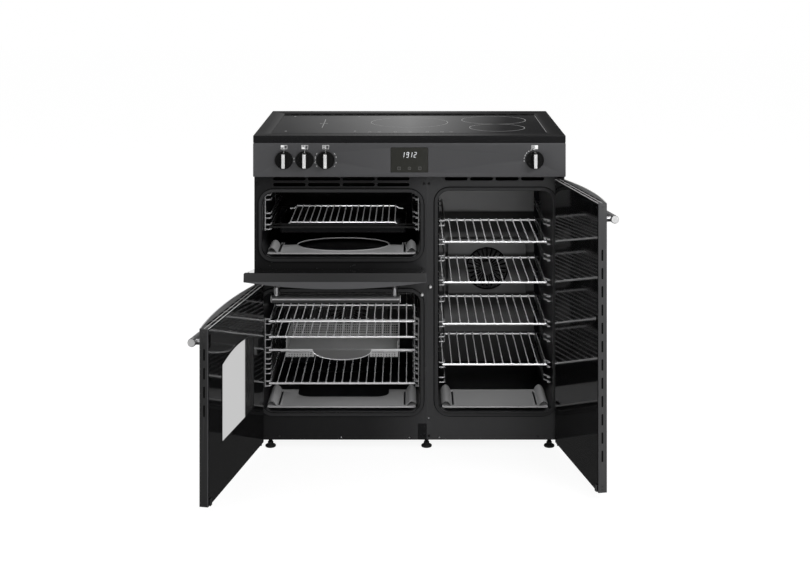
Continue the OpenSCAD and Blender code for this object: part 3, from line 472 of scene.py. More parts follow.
class Repeater:
    """Geometry node trees that repeat a small mesh in a row or round an axis."""

    def __init__(self) -> None:
        """Builds both trees."""
        self.row_tree = self._row()
        self.ring_tree = self._ring()

    @staticmethod
    def _start(name: str, sizes: dict[str, str]) -> tuple[Graph, bpy.types.bpy_prop_collection]:
        """Makes a tree with a geometry input, the named sizes and a material.

        Args:
            name: The tree's name.
            sizes: The socket type of each size by its name.

        Returns:
            The graph and the outputs of its group input node.
        """
        tree = bpy.data.node_groups.new(name, "GeometryNodeTree")
        add_sockets(tree, "INPUT", {"Geometry": "Geometry", **sizes, "Material": "Material"})
        add_sockets(tree, "OUTPUT", {"Geometry": "Geometry"})
        graph = Graph(tree)
        return graph, graph.add("NodeGroupInput").outputs

    @staticmethod
    def _end(graph: Graph, given: bpy.types.bpy_prop_collection, places: dict) -> bpy.types.NodeTree:
        """Ends a tree with real copies of the given mesh, in the given material.

        Args:
            graph: The tree's graph.
            given: The outputs of its group input node.
            places: Where the copies go, as inputs of the node that makes them.

        Returns:
            The finished tree.
        """
        copies = graph.out("GeometryNodeInstanceOnPoints", {**places, "Instance": given["Geometry"]})
        real = graph.out("GeometryNodeRealizeInstances", {"Geometry": copies})
        coated = {"Geometry": real, "Material": given["Material"]}
        graph.add("NodeGroupOutput", {"Geometry": graph.out("GeometryNodeSetMaterial", coated)})
        return graph.tree

    def _row(self) -> bpy.types.NodeTree:
        """Builds the tree that repeats a mesh along a straight row."""
        graph, given = self._start("repeat_in_row", {"Count": "Int", "Step": "Vector"})
        line = {"Count": given["Count"], "Offset": given["Step"]}
        return self._end(graph, given, {"Points": graph.out("GeometryNodeMeshLine", line, mode="OFFSET")})

    def _ring(self) -> bpy.types.NodeTree:
        """Builds the tree that turns a mesh round the Y axis."""
        graph, given = self._start("repeat_in_ring", {"Count": "Int", "Step": "Float"})
        line = {"Count": given["Count"], "Offset": (0.0, 0.0, 0.0)}
        points = graph.out("GeometryNodeMeshLine", line, mode="OFFSET")
        angle = graph.math("MULTIPLY", graph.out("GeometryNodeInputIndex"), given["Step"])
        turn = graph.out("ShaderNodeCombineXYZ", {"Y": angle})
        return self._end(graph, given, {"Points": points, "Rotation": turn})

    @staticmethod
    def _apply(piece: bpy.types.Object, tree: bpy.types.NodeTree, count: int, step: object) -> None:
        """Runs a tree on a piece and keeps the result as its plain mesh.

        Args:
            piece: The object whose mesh is repeated.
            tree: The geometry node tree.
            count: Number of copies.
            step: From one copy to the next, in the tree's own units.
        """
        values = {"Count": count, "Step": step, "Material": piece.data.materials[0]}
        modifier = piece.modifiers.new("repeat", "NODES")
        modifier.node_group = tree
        for item in tree.interface.items_tree:
            if item.item_type == "SOCKET" and item.in_out == "INPUT" and item.name in values:
                modifier[item.identifier] = values[item.name]
        depsgraph = bpy.context.evaluated_depsgraph_get()
        mesh = bpy.data.meshes.new_from_object(piece.evaluated_get(depsgraph))
        piece.modifiers.clear()
        piece.data = mesh

    def row(self, piece: bpy.types.Object, count: int, step: Point) -> None:
        """Repeats a piece's mesh along a row.

        Args:
            piece: The piece, with its first copy in place.
            count: Number of copies.
            step: From one copy to the next, in millimetres.
        """
        self._apply(piece, self.row_tree, count, [length * MM for length in step])

    def ring(self, piece: bpy.types.Object, count: int) -> None:
        """Repeats a piece's mesh evenly round the Y axis.

        Args:
            piece: The piece, drawn about the origin.
            count: Number of copies in the full turn.
        """
        self._apply(piece, self.ring_tree, count, 2 * math.pi / count)


# -------- outlines


def arc_points(centre: Flat, radius: Flat, first: float, last: float, steps: int) -> list[Flat]:
    """Gives points along an arc of an ellipse.

    Args:
        centre: Middle of the arc.
        radius: Radii along the first and the second direction.
        first: First angle in degrees.
        last: Last angle in degrees.
        steps: Number of steps between them.

    Returns:
        The points, both ends included.
    """
    angles = [math.radians(first + (last - first) * i / steps) for i in range(steps + 1)]
    return [(centre[0] + radius[0] * math.cos(a), centre[1] + radius[1] * math.sin(a)) for a in angles]


def rounded_rect(width: float, height: float, radius: float, centre: Flat = (0, 0)) -> list[Flat]:
    """Gives the outline of a rectangle with round corners, anticlockwise."""
    x, y = width / 2 - radius, height / 2 - radius
    points: list[Flat] = []
    for quarter, (sx, sy) in enumerate(((1, 1), (-1, 1), (-1, -1), (1, -1))):
        middle = (centre[0] + sx * x, centre[1] + sy * y)
        points += arc_points(middle, (radius, radius), 90 * quarter, 90 * quarter + 90, 6)
    return points


def oval(width: float, height: float, centre: Flat = (0, 0), steps: int = 64) -> list[Flat]:
    """Gives the outline of an ellipse, anticlockwise."""
    return arc_points(centre, (width / 2, height / 2), 0, 360, steps)[:-1]


# -------- shapes


class Shape:
    """A mesh that is being made, in millimetres."""

    def __init__(self) -> None:
        """Starts empty."""
        self.bm = bmesh.new()

    def box(
        self, low: Point, high: Point, bevel: float = 0.0, segments: int = 2, place: Matrix | None = None
    ) -> "Shape":
        """Adds a box, with rounded edges where a bevel is given.

        Args:
            low: Lowest corner.
            high: Highest corner.
            bevel: Radius of its edges.
            segments: Facets across an edge.
            place: Where the box goes, or none for a box that is drawn in its place.

        Returns:
            The shape itself.
        """
        made = bmesh.ops.create_cube(self.bm, size=1.0)["verts"]
        for vert in made:
            vert.co = Vector([low[i] + (vert.co[i] + 0.5) * (high[i] - low[i]) for i in range(3)])
        if place is not None:
            bmesh.ops.transform(self.bm, matrix=place, verts=made)
        if bevel > 0:
            edges = list({edge for vert in made for edge in vert.link_edges})
            rounding = {"offset": bevel, "segments": segments, "profile": 0.5, "affect": "EDGES"}
            bmesh.ops.bevel(self.bm, geom=edges, **rounding)
        return self

    def lathe(self, profile: Sequence[Flat], centre: Point, axis: int, sides: int = 32) -> "Shape":
        """Turns a profile round an axis.

        Args:
            profile: Radius and place along the axis of each point, ends on the axis first and last.
            centre: Where the axis starts.
            axis: 0, 1 or 2 for X, Y or Z.
            sides: Number of sides.

        Returns:
            The shape itself.
        """
        first, second = [i for i in range(3) if i != axis]
        rings = []
        for radius, along in profile:
            ring = []
            for side in range(sides if radius > 0 else 1):
                angle = 2 * math.pi * side / sides
                place = Vector(centre)
                place[axis] += along
                place[first] += radius * math.cos(angle)
                place[second] += radius * math.sin(angle)
                ring.append(self.bm.verts.new(place))
            rings.append(ring)
        for low, high in zip(rings, rings[1:]):
            self.band(low, high)
        return self

    def band(self, low: list, high: list) -> None:
        """Joins two rings of vertices with faces."""
        count = max(len(low), len(high))
        for i in range(count):
            j = (i + 1) % count
            corner = [low[i % len(low)], low[j % len(low)], high[j % len(high)], high[i % len(high)]]
            self.bm.faces.new(list(dict.fromkeys(corner)))

    def tube(self, path: Sequence[Point], radius: float, sides: int = 10, closed: bool = False) -> "Shape":
        """Sweeps a round wire along a path.

        Args:
            path: The points of its middle line.
            radius: Radius of the wire.
            sides: Number of sides.
            closed: Whether the wire joins its own start.

        Returns:
            The shape itself.
        """
        points = [Vector(p) for p in path]
        count = len(points)
        side = None
        rings = []
        for i, point in enumerate(points):
            before = points[i - 1] if i or closed else point
            after = points[(i + 1) % count] if i < count - 1 or closed else point
            along = (after - before).normalized()
            if side is None:
                side = along.orthogonal().normalized()
            side = (side - along * side.dot(along)).normalized()
            up = along.cross(side)
            turns = [2 * math.pi * step / sides for step in range(sides)]
            ring = [point + radius * (math.cos(turn) * side + math.sin(turn) * up) for turn in turns]
            rings.append([self.bm.verts.new(place) for place in ring])
        return self.stack(rings, closed)

    def stack(self, rings: Sequence[list], closed: bool = False) -> "Shape":
        """Joins rings of vertices one after another.

        Args:
            rings: The rings.
            closed: Whether the last ring joins the first, so that no end face is needed.

        Returns:
            The shape itself.
        """
        for low, high in zip(rings, rings[1:]):
            self.band(low, high)
        if closed:
            self.band(rings[-1], rings[0])
        else:
            self.bm.faces.new(list(reversed(rings[0])))
            self.bm.faces.new(rings[-1])
        return self

    def plate(
        self,
        outer: Sequence[Flat],
        holes: Iterable[Sequence[Flat]],
        thickness: float,
        bevel: float,
        place: Matrix,
    ) -> "Shape":
        """Adds a flat plate with holes, drawn in its own X and Y and centred on its own Z.

        Args:
            outer: The outline, anticlockwise.
            holes: The outlines of its holes, anticlockwise.
            thickness: Thickness of the plate.
            bevel: Radius of its edges.
            place: Where the plate goes.

        Returns:
            The shape itself.
        """
        curve = bpy.data.curves.new("plate", "CURVE")
        curve.dimensions = "2D"
        curve.fill_mode = "BOTH"
        curve.extrude = thickness / 2 - bevel
        curve.bevel_depth = bevel
        curve.bevel_resolution = 1
        curve.offset = -bevel
        for outline in [list(outer)] + [list(reversed(hole)) for hole in holes]:
            spline = curve.splines.new("POLY")
            spline.points.add(len(outline) - 1)
            for point, (x, y) in zip(spline.points, outline):
                point.co = (x, y, 0, 1)
            spline.use_cyclic_u = True
        holder = bpy.data.objects.new("plate", curve)
        bpy.context.scene.collection.objects.link(holder)
        depsgraph = bpy.context.evaluated_depsgraph_get()
        mesh = bpy.data.meshes.new_from_object(holder.evaluated_get(depsgraph))
        mesh.transform(place)
        self.bm.from_mesh(mesh)
        bpy.data.objects.remove(holder)
        bpy.data.meshes.remove(mesh)
        return self

    def move(self, place: Matrix) -> "Shape":
        """Moves the whole shape."""
        bmesh.ops.transform(self.bm, matrix=place, verts=self.bm.verts)
        return self


def drum(radius: float, first: float, last: float) -> list[Flat]:
    """Gives the profile of a plain round disc, to be turned on a lathe."""
    return [(0, first), (radius, first), (radius, last), (0, last)]


def facing_front(y: float) -> Matrix:
    """Stands a plate upright, facing -Y, with its middle plane at a depth."""
    return Matrix.Translation((0, y, 0)) @ Matrix.Rotation(math.pi / 2, 4, "X")


def lying_at(z: float) -> Matrix:
    """Lays a plate flat, with its middle plane at a height."""
    return Matrix.Translation((0, 0, z))


class Workshop:
    """Turns shapes into finished pieces of the cooker."""

    WELD = 0.001
    SMOOTH_DEG = 35.0

    def __init__(self, finishes: Finishes) -> None:
        """Starts a workshop.

        Args:
            finishes: The materials.
        """
        self.finishes = finishes
        self.repeater = Repeater()

    def piece(self, name: str, shape: Shape, finish: str) -> bpy.types.Object:
        """Makes an object of a shape.

        Args:
            name: The piece's name.
            shape: Its closed mesh, in millimetres, which is used up.
            finish: The name of its finish.

        Returns:
            The object, at the origin with its place in its mesh.
        """
        bm = shape.bm
        bmesh.ops.remove_doubles(bm, verts=bm.verts, dist=self.WELD)
        bmesh.ops.recalc_face_normals(bm, faces=bm.faces)
        bmesh.ops.scale(bm, vec=(MM, MM, MM), verts=bm.verts)
        mesh = bpy.data.meshes.new(name)
        bm.to_mesh(mesh)
        bm.free()
        mesh.shade_smooth()
        mesh.set_sharp_from_angle(angle=math.radians(self.SMOOTH_DEG))
        mesh.materials.append(self.finishes[finish])
        made = bpy.data.objects.new(name, mesh)
        bpy.context.scene.collection.objects.link(made)
        return made

    def fit(self, made: bpy.types.Object, body: str, slot: str = "", *replaces: str) -> None:
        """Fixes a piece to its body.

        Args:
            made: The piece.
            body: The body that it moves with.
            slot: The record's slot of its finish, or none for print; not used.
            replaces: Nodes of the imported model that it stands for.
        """
        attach(made, body)
        if replaces:
            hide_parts(*replaces)
        LOG.info("%s rides on %s, %d faces", made.name, body, len(made.data.polygons))

    def add(
        self, name: str, shape: Shape, finish: str, body: str = "cooker", slot: str = "", *replaces: str,
        row: tuple[int, Point] | None = None,
    ) -> None:
        """Makes a piece and fixes it to its body.

        Args:
            name: The piece's name.
            shape: Its closed mesh, in millimetres, which is used up.
            finish: The name of its finish.
            body: The body that it moves with.
            slot: The record's slot of its finish, or none for print.
            replaces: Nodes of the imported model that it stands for.
            row: Number of copies and the step between them, where the mesh is repeated.
        """
        made = self.piece(name, shape, finish)
        if row:
            self.repeater.row(made, *row)
        self.fit(made, body, slot, *replaces)


# -------- the hob and controls


def mm_box(node: str) -> tuple[Vector, Vector]:
    """Gives a node's lowest and highest corners, in millimetres."""
    low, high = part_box(node)
    return low / MM, high / MM


def outline_of(node: str, radius: float, grow: float = 0.0, up: int = 1) -> list[Flat]:
    """Gives a node's rounded outline, grown by a margin.

    Args:
        node: The node.
        radius: Radius of the outline's corners.
        grow: The margin.
        up: 1 for the outline from above, 2 for the one from the front.

    Returns:
        The outline, anticlockwise.
    """
    low, high = mm_box(node)
    size, middle = high - low, (high + low) / 2
    return rounded_rect(size.x + 2 * grow, size[up] + 2 * grow, radius, (middle.x, middle[up]))


@dataclass(frozen=True)
class Hob:
    """The rounded surround, the ceramic glass and the zones printed on it.

    Attributes:
        corners: Corner radii of the surround, the glass and the grille's opening.
        gap: Gap round the glass and the grille.
        rim_round: Radius of the surround's edges.
        glass_round: Radius of the glass's ground edge.
        print_t: Thickness of the print.
        line: Width of the printed lines.
        zones: Centre and radius of each round zone.
        flexi: Left and right, near and far side of the long zone.
        flexi_mark: Side of the squares at its corners.
        cross: Middle of the cross in the long zone.
        cross_reach: Half the length of its long and short arms.
        touch_x: Places of the touch marks along the front.
        touch_y: Depth of the touch marks.
        touch: Radius of a touch mark's ring, width of its lines and length of its bar.
        painted_glint: Place and width of a painted highlight, a pale line along the glass's right edge, and
            its ends.
    """

    corners: Point = (3, 8, 5)
    gap: float = 0.3
    rim_round: float = 1.6
    glass_round: float = 0.7
    print_t: float = 0.1
    line: float = 2.0
    zones: tuple[Point, ...] = ((0, 4, 118), (263, 61, 99.5), (263, -121, 82.5))
    flexi: tuple[Flat, Flat] = ((-364, -160), (-200, 150))
    flexi_mark: float = 7
    cross: Flat = (-262, -23)
    cross_reach: Flat = (100, 12)
    touch_x: tuple[float, ...] = (-115.7, -88, -42.3, 2.3, 52.2, 95.4, 123)
    touch_y: float = -216
    touch: Point = (4.5, 1.2, 5)
    painted_glint: tuple[Flat, Flat] = ((401.4, 1.4), (-227, 173))

    def build(self, shop: Workshop) -> None:
        """Adds the hob's pieces."""
        low, high = mm_box("hob_frame")
        size = high - low
        rim_r, glass_r, grille_r = self.corners
        nodes = (("hob_glass", glass_r), ("hob_vent_grille", grille_r))
        holes = [outline_of(node, radius, self.gap) for node, radius in nodes]
        place = lying_at((low.z + high.z) / 2)
        rim = Shape().plate(rounded_rect(size.x, size.y, rim_r), holes, size.z, self.rim_round, place)
        shop.add("hob_surround", rim, "hob_enamel", "cooker", "black_enamel", "hob_frame")
        low, high = mm_box("hob_glass")
        top = high.z - self.print_t
        place = lying_at((low.z + top) / 2)
        glass = Shape().plate(outline_of("hob_glass", glass_r), [], top - low.z, self.glass_round, place)
        shop.add("hob_top", glass, "ceramic_glass", "cooker", "ceramic_glass", "hob_glass")
        shop.add("hob_prints", self._prints(high.z), "print_grey")

    def _prints(self, top: float) -> Shape:
        """Draws the zones, the cross, the touch marks and a painted highlight along the glass's right edge.
        """
        prints = Shape()
        place = lying_at(top - self.print_t / 2)

        def ring(x: float, y: float, radius: float, line: float) -> None:
            """Draws a ring."""
            outer, inner = 2 * radius + line, 2 * radius - line
            prints.plate(oval(outer, outer, (x, y)), [oval(inner, inner, (x, y))], self.print_t, 0, place)

        def bar(x: float, y: float, width: float, depth: float) -> None:
            """Draws a filled rectangle."""
            low = (x - width / 2, y - depth / 2, top - self.print_t)
            prints.box(low, (x + width / 2, y + depth / 2, top))

        for x, y, radius in self.zones:
            ring(x, y, radius, self.line)
        for x in self.flexi[0]:
            for y in self.flexi[1]:
                bar(x, y, self.flexi_mark, self.flexi_mark)
        bar(*self.cross, self.line, 2 * self.cross_reach[0])
        bar(*self.cross, 2 * self.cross_reach[1], 2 * self.line)
        radius, line, length = self.touch
        for x in self.touch_x:
            ring(x, self.touch_y, radius, line)
            bar(x, self.touch_y, line, length)
        # A painted highlight: a pale line printed where the glass's right edge would catch the light.
        (x, width), (near, far) = self.painted_glint
        bar(x, (near + far) / 2, width, far - near)
        return prints


@dataclass(frozen=True)
class Knob:
    """A knob and the marks printed round it.

    Attributes:
        node: The knob's node.
        body: The body that it turns with.
        dashes: Angles of the printed dashes, anticlockwise from the right.
        icon: The filled cell of the icon above it.
    """

    node: str
    body: str
    dashes: tuple[float, ...]
    icon: str


@dataclass(frozen=True)
class Controls:
    """The fascia, its knobs, its prints and the display.

    Attributes:
        corners: Corner radii of the fascia and of the display.
        gap: Gap round the display.
        shaft: Width of the holes behind the knobs.
        edge: Radius of the fascia's edges.
        print_t: Thickness of the print.
        dial: Distance in from a dial's rim and from the fascia of each point of its profile.
        grip: Width, height and corner radius of a knob's grip.
        grip_in: From the fascia to the grip's inner end.
        inlay: Width, height and corner radius of the pale inlay in a grip.
        dot: Radius of the dot on a dial, and the place of its middle in from the rim.
        dot_y: Depths of the dot's ends from the fascia.
        dash_r: Radius of the printed dashes.
        dash: Width and length of a dash.
        icon_up: From a knob's middle to the middle of its icon.
        icon: Width and height of an icon.
        icon_line: Width of its lines.
        digit: Width, height and stroke of a digit.
        digit_x: Places of the digits from the display's middle.
        digit_up: From the display's middle to the middle of the digits.
        slant: Sideways lean of the digits.
        keys_x: Places of the touch keys from the display's middle.
        keys_down: From the display's middle down to the touch keys.
        key: Outer and inner width of a touch key.
        knobs: The knobs from left to right.
    """

    corners: Flat = (3, 2)
    gap: float = 0.3
    shaft: float = 10
    edge: float = 1.4
    print_t: float = 0.12
    dial: tuple[Flat, ...] = (
        (0.6, -0.3), (0, -1.0), (0, -5.2), (0.8, -6.3), (2.6, -6.3), (3.6, -5.2), (10, -4.8)
    )
    grip: Point = (13, 44, 6)
    grip_in: float = 4.5
    inlay: Point = (9, 40, 1.2)
    dot: Flat = (1.1, 2.4)
    dot_y: Flat = (-6.9, -5)
    dash_r: float = 30.5
    dash: Flat = (1.0, 3.8)
    icon_up: float = 37
    icon: Flat = (19, 11)
    icon_line: float = 0.8
    digit: Point = (5.4, 14.5, 1.2)
    digit_x: tuple[float, ...] = (-18.0, -5.0, 4.5, 16.5)
    digit_up: float = 15
    slant: float = 0.14
    keys_x: tuple[float, ...] = (-30, 0, 30)
    keys_down: float = 24
    key: Flat = (9, 6.6)
    knobs: tuple[Knob, ...] = (
        Knob("knob_top_oven", "top_oven_knob", (), "top"),
        Knob("knob_main_function", "main_function_knob", (-8, 8, 172, 188), "low"),
        Knob("knob_main_heat", "main_heat_knob", (-35, -15, 15, 35, 145, 165, 195, 215), "round"),
        Knob("knob_tall_oven", "tall_oven_knob", (95, 110, 125, 140, 155, 170, 185), "tall"),
    )

    SEGMENTS = {"1": "bc", "9": "abcdfg", "2": "abged"}
    TIME = "1912"

    def build(self, shop: Workshop) -> None:
        """Adds the pieces of the control panel."""
        low, high = mm_box("control_fascia")
        size, middle = high - low, (high + low) / 2
        show_low, show_high = mm_box("display_window")
        show = show_high - show_low
        panel_r, show_r = self.corners
        wide, tall = show.x + 2 * self.gap, show.z + 2 * self.gap
        holes = [rounded_rect(wide, tall, show_r, (0, middle.z))]
        for knob in self.knobs:
            holes.append(oval(self.shaft, self.shaft, (self._middle(knob).x, middle.z), 24))
        outer = rounded_rect(size.x, size.z, panel_r, (0, middle.z))
        panel = Shape().plate(outer, holes, size.y, self.edge, facing_front(middle.y))
        shop.add("fascia_panel", panel, "anthracite", "cooker", "anthracite", "control_fascia")
        for knob in self.knobs:
            self._knob(shop, knob, low.y)
        self._display(shop, show_low, show_high)

    @staticmethod
    def _middle(knob: Knob) -> Vector:
        """Gives the middle of a knob's node."""
        low, high = mm_box(knob.node)
        return (low + high) / 2

    def _knob(self, shop: Workshop, knob: Knob, face: float) -> None:
        """Adds one knob: a dial with a sunk face, a grip and its inlay, and the marks round it."""
        low, high = mm_box(knob.node)
        middle = self._middle(knob)
        centre = (middle.x, middle.z)
        rim = (high.x - low.x) / 2
        profile = [(rim - inset, depth) for inset, depth in self.dial]
        profile = [(0, profile[0][1])] + profile + [(0, profile[-1][1])]
        dial = Shape().lathe(profile, (middle.x, face, middle.z), 1, 64)
        place = facing_front((low.y + 0.3 + face - self.grip_in) / 2)
        dial.plate(rounded_rect(*self.grip, centre), [], face - low.y - self.grip_in, 1.3, place)
        shop.add(f"{knob.body}_dial", dial, "knob_black", knob.body, "knob_black", knob.node)
        inlay = Shape().plate(rounded_rect(*self.inlay, centre), [], 1.0, 0.25, facing_front(low.y + 0.45))
        radius, inset = self.dot
        dot = [(0, self.dot_y[0])] + [(radius, depth) for depth in self.dot_y]
        inlay.lathe(dot, (middle.x, face, middle.z + rim - inset), 1, 16)
        shop.add(f"{knob.body}_inlay", inlay, "knob_inlay", knob.body, "handle_chrome")
        self._marks(shop, knob, middle, face)

    def _marks(self, shop: Workshop, knob: Knob, middle: Vector, face: float) -> None:
        """Prints the dashes and the icon of one knob."""
        marks = Shape()
        dash_w, dash_l = self.dash
        for angle in knob.dashes:
            turn = Matrix.Rotation(math.radians(-angle), 4, "Y")
            low, high = (self.dash_r, -self.print_t, -dash_l / 2), (self.dash_r + dash_w, 0, dash_l / 2)
            marks.box(low, high, place=Matrix.Translation((middle.x, face, middle.z)) @ turn)
        sunk = 0.1
        thickness = self.print_t + sunk
        place = facing_front(face + sunk - thickness / 2)
        line = self.icon_line

        def cell(x: float, z: float, width: float, height: float, full: bool) -> None:
            """Draws one cell of the icon, full or as an outline."""
            centre = (middle.x + x, middle.z + self.icon_up + z)
            inner = rounded_rect(width - 2 * line, height - 2 * line, line / 2, centre)
            outer = rounded_rect(width, height, line, centre)
            marks.plate(outer, [] if full else [inner], thickness, 0, place)

        width, height = self.icon
        gap = 0.6
        cell(-width / 4, height / 4 + gap / 2, width / 2 - gap, height / 2 - gap, knob.icon == "top")
        cell(-width / 4, -height / 4 - gap / 2, width / 2 - gap, height / 2 - gap, knob.icon == "low")
        cell(width / 4, 0, width / 2 - gap, height, knob.icon == "tall")
        cell(0, -height / 2 - 2.6, 1.8, 1.8, True)
        shop.add(f"{knob.body}_prints", marks, "print_white")

    def _display(self, shop: Workshop, low: Vector, high: Vector) -> None:
        """Adds the display glass with its digits and touch keys."""
        middle = (high + low) / 2
        outer = outline_of("display_window", self.corners[1], up=2)
        place = facing_front(middle.y + self.print_t / 2)
        glass = Shape().plate(outer, [], high.y - low.y - self.print_t, 0.3, place)
        shop.add("display_glass", glass, "display_glass", "cooker", "display_glass", "display_window")
        lit = Shape()
        for x, sign in zip(self.digit_x, self.TIME):
            self._digit(lit, (middle.x + x, middle.z + self.digit_up), low.y, sign)
        shop.add("display_digits", lit, "lit_digit")
        keys = Shape()
        height, behind = middle.z - self.keys_down, low.y + self.print_t
        place = facing_front((low.y + behind) / 2)
        for x in self.keys_x:
            centre = (middle.x + x, height)
            if x:
                outer, inner = (rounded_rect(w, w, r, centre) for w, r in zip(self.key, (1, 0.5)))
            else:
                outer, inner = (oval(w, w, centre) for w in self.key)
            keys.plate(outer, [inner], self.print_t, 0, place)
            keys.box((centre[0] - 0.5, low.y, height - 1), (centre[0] + 0.5, behind, height + 2))
        shop.add("display_keys", keys, "dim_icon")

    def _digit(self, lit: Shape, centre: Flat, face: float, sign: str) -> None:
        """Draws one seven-segment digit."""
        width, height, stroke = self.digit
        x, z, gap, half = width / 2, height / 2, stroke * 0.62, stroke / 2
        bars = {
            "a": (-x + gap, z, x - gap, z),
            "b": (x, gap, x, z - gap),
            "c": (x, gap - z, x, -gap),
            "d": (-x + gap, -z, x - gap, -z),
            "e": (-x, gap - z, -x, -gap),
            "f": (-x, gap, -x, z - gap),
            "g": (-x + gap, 0, x - gap, 0),
        }
        lean = Matrix.Identity(4)
        lean[0][2] = self.slant
        place = Matrix.Translation((centre[0], face, centre[1])) @ lean
        for x0, z0, x1, z1 in (bars[name] for name in self.SEGMENTS[sign]):
            lit.box((x0 - half, 0, z0 - half), (x1 + half, self.print_t, z1 + half), place=place)


# -------- the doors


@dataclass(frozen=True)
class Door:
    """A door in its own flat frame: X across, Y inwards from its edge, Z up from its foot.

    Attributes:
        name: The word that the names of its nodes and its hinge begin with.
        body: The door's body.
        axis: The hinge's axis, X or Z.
        opened: Angle from closed to the pose that is drawn, in degrees.
        corner: From the pivot to the middle of the closed door's foot.
        size: Width and height.
        handle_w: Length of its handle.
    """

    name: str
    body: str
    axis: str
    opened: float
    corner: Point
    size: Flat
    handle_w: float

    def place(self) -> Matrix:
        """Gives the matrix from the door's own frame to the model's, in millimetres."""
        hinge = f"{self.name}_door_hinge"
        pivot = next(Vector(j["pos_m"]) for j in frame["joints"] if j["name"] == hinge) / MM
        if self.axis == "Z":
            pivot.z = 0.0
        turn = Matrix.Rotation(math.radians(self.opened), 4, self.axis)
        return Matrix.Translation(pivot) @ turn @ Matrix.Translation(self.corner)


@dataclass(frozen=True)
class Doors:
    """What the doors carry: handles, edge strips, head plates, screws and the window's trim.

    Attributes:
        bow: How far the middle of a door bows outwards.
        thickness: Thickness of a door at its edges.
        reach: From a door's edge plane to the middle of its handle's bar.
        drop: From the top of a door to its handle.
        bar_r: Radius of the bar.
        post_in: From a bar's end to the middle of its post.
        window: Width, height at the sides and rise of the window.
        window_z: Height of the window's foot in the door.
        slots: Foot and number of the slots in the free edge of the main and the tall door.
        slot: Step, length and width of those slots.
        strip_t: Thickness of the strip on a free edge.
        strip: Depths between which the strip of a side-hung door lies.
        tab: Width, thickness and height of the tab at the foot of a side-hung door.
        head_rows: Depths of the two rows of slots in the head of a side-hung door.
        head_slot: Step, length and width of those slots.
        rim_r: Radii of the painted highlights, pale lines along the outer and the inner edge of the head.
        caps: Thickness of a bar's end caps and the places of the collars behind them.
        foot_r: Radii of a post's stem, its flare and its foot, and of the collar round the foot.
        screw: Profile of a screw's head on an inner panel: radius and height above the panel.
        edge_screw: The same for a screw on a free edge.
        screw_in: From a door's edges to its screws.
        edge_screw_z: Heights of the screws on a free edge from the door's foot and head.
        grill, main, tall: The three doors.
    """

    bow: float = 18
    thickness: float = 25
    reach: float = 47
    drop: float = 58
    bar_r: float = 11
    post_in: float = 15
    window: Point = (278, 202, 17)
    window_z: float = 132
    slots: tuple[tuple[float, int], ...] = ((245.88, 4), (96, 12))
    slot: Point = (48, 30, 5)
    strip_t: float = 0.3
    strip: Flat = (1.0, 21.4)
    tab: Point = (13, 3.0, 18)
    head_rows: Flat = (7.0, 16.5)
    head_slot: Point = (47, 40, 7)
    rim_r: Flat = (1.3, 0.7)
    caps: tuple[float, float, float] = (2.0, 1.4, 2.9)
    foot_r: tuple[float, ...] = (7.6, 8.2, 9.4, 9.9)
    screw: tuple[Flat, ...] = ((0, 0.9), (1.4, 0.7), (2.6, 0.1), (2.6, -1), (0, -1))
    edge_screw: tuple[Flat, ...] = ((0, 0.9), (1.2, 0.7), (2.1, 0.1), (2.1, -1), (0, -1))
    screw_in: float = 12
    edge_screw_z: Flat = (9, 18)
    grill: Door = Door("grill", "grill_door", "X", 79.5, (0, -8, -14), (494, 288), 353)
    main: Door = Door("main", "main_oven_door", "Z", -101, (235, -10, 26), (494, 455.88), 353)
    tall: Door = Door("tall", "tall_oven_door", "Z", 101, (-186, -10, 26), (396, 760), 256)

    # The dark sheets behind the slots are painted shade inside the doors.
    BACKING = 0.1  # thickness of the dark sheet that shows through the slots
    BACKING_UP = 0.07  # from the door's edge to the middle of that sheet

    def build(self, shop: Workshop) -> None:
        """Adds the pieces of all three doors."""
        for door in (self.grill, self.main, self.tall):
            self._handle(shop, door)
            self._screws(shop, door)
        self._strips(shop)
        self._window_trim(shop)

    @staticmethod
    def _add(
        shop: Workshop, door: Door, name: str, shape: Shape, finish: str, slot: str, *replaces: str
    ) -> None:
        """Turns a shape from its door's own frame to the model's and adds it as a piece."""
        shop.add(f"{door.body}_{name}", shape.move(door.place()), finish, door.body, slot, *replaces)

    def _free(self, door: Door) -> int:
        """Gives the side of a side-hung door's free edge, 1 for the right."""
        return -1 if door is self.tall else 1

    def _face(self, door: Door, x: float) -> float:
        """Gives the depth of a door's bowed face at a place across it."""
        radius = (door.size[0] ** 2 / 4 + self.bow**2) / (2 * self.bow)
        return radius - self.bow - math.sqrt(radius**2 - x * x)

    def _handle(self, shop: Workshop, door: Door) -> None:
        """Adds a handle: a bar with capped ends, dark collars and two flared posts."""
        length, height, r = door.handle_w, door.size[1] - self.drop, self.bar_r
        half, out = length / 2, -self.reach
        tips = [(0, 2.6), (r - 0.8, 2.6), (r, 3.6)]
        tips += [(radius, length - along) for radius, along in reversed(tips)]
        bar = Shape().lathe(tips, (-half, out, height), 0, 48)
        collars, caps = Shape(), Shape()
        cap, first, last = self.caps
        stem_r, flare_r, foot_r, collar_r = self.foot_r
        for side in (-1, 1):
            end = (side * half, out, height)
            profile = [(0, 0), (r - 1.6, 0), (r - 0.8, 0.7), (r - 0.8, cap), (0, cap)]
            caps.lathe([(radius, -side * along) for radius, along in profile], end, 0, 48)
            collars.lathe(drum(r, -side * first, -side * last), end, 0, 48)
            x = side * (half - self.post_in)
            face = self._face(door, x)
            profile = [(0, out + 4), (stem_r, out + 4), (stem_r, face - 9), (flare_r, face - 5)]
            profile += [(foot_r, face - 3), (foot_r, face + 1.5), (0, face + 1.5)]
            bar.lathe(profile, (x, 0, height), 1, 32)
            collars.lathe(drum(collar_r, face - 1.2, face + 1.5), (x, 0, height), 1, 32)
        node = f"{door.name}_door_handle"
        self._add(shop, door, "bar", bar, "handle_chrome", "handle_chrome", node)
        self._add(shop, door, "collars", collars, "black_plastic", "black_plastic")
        self._add(shop, door, "caps", caps, "bar_cap", "handle_chrome")

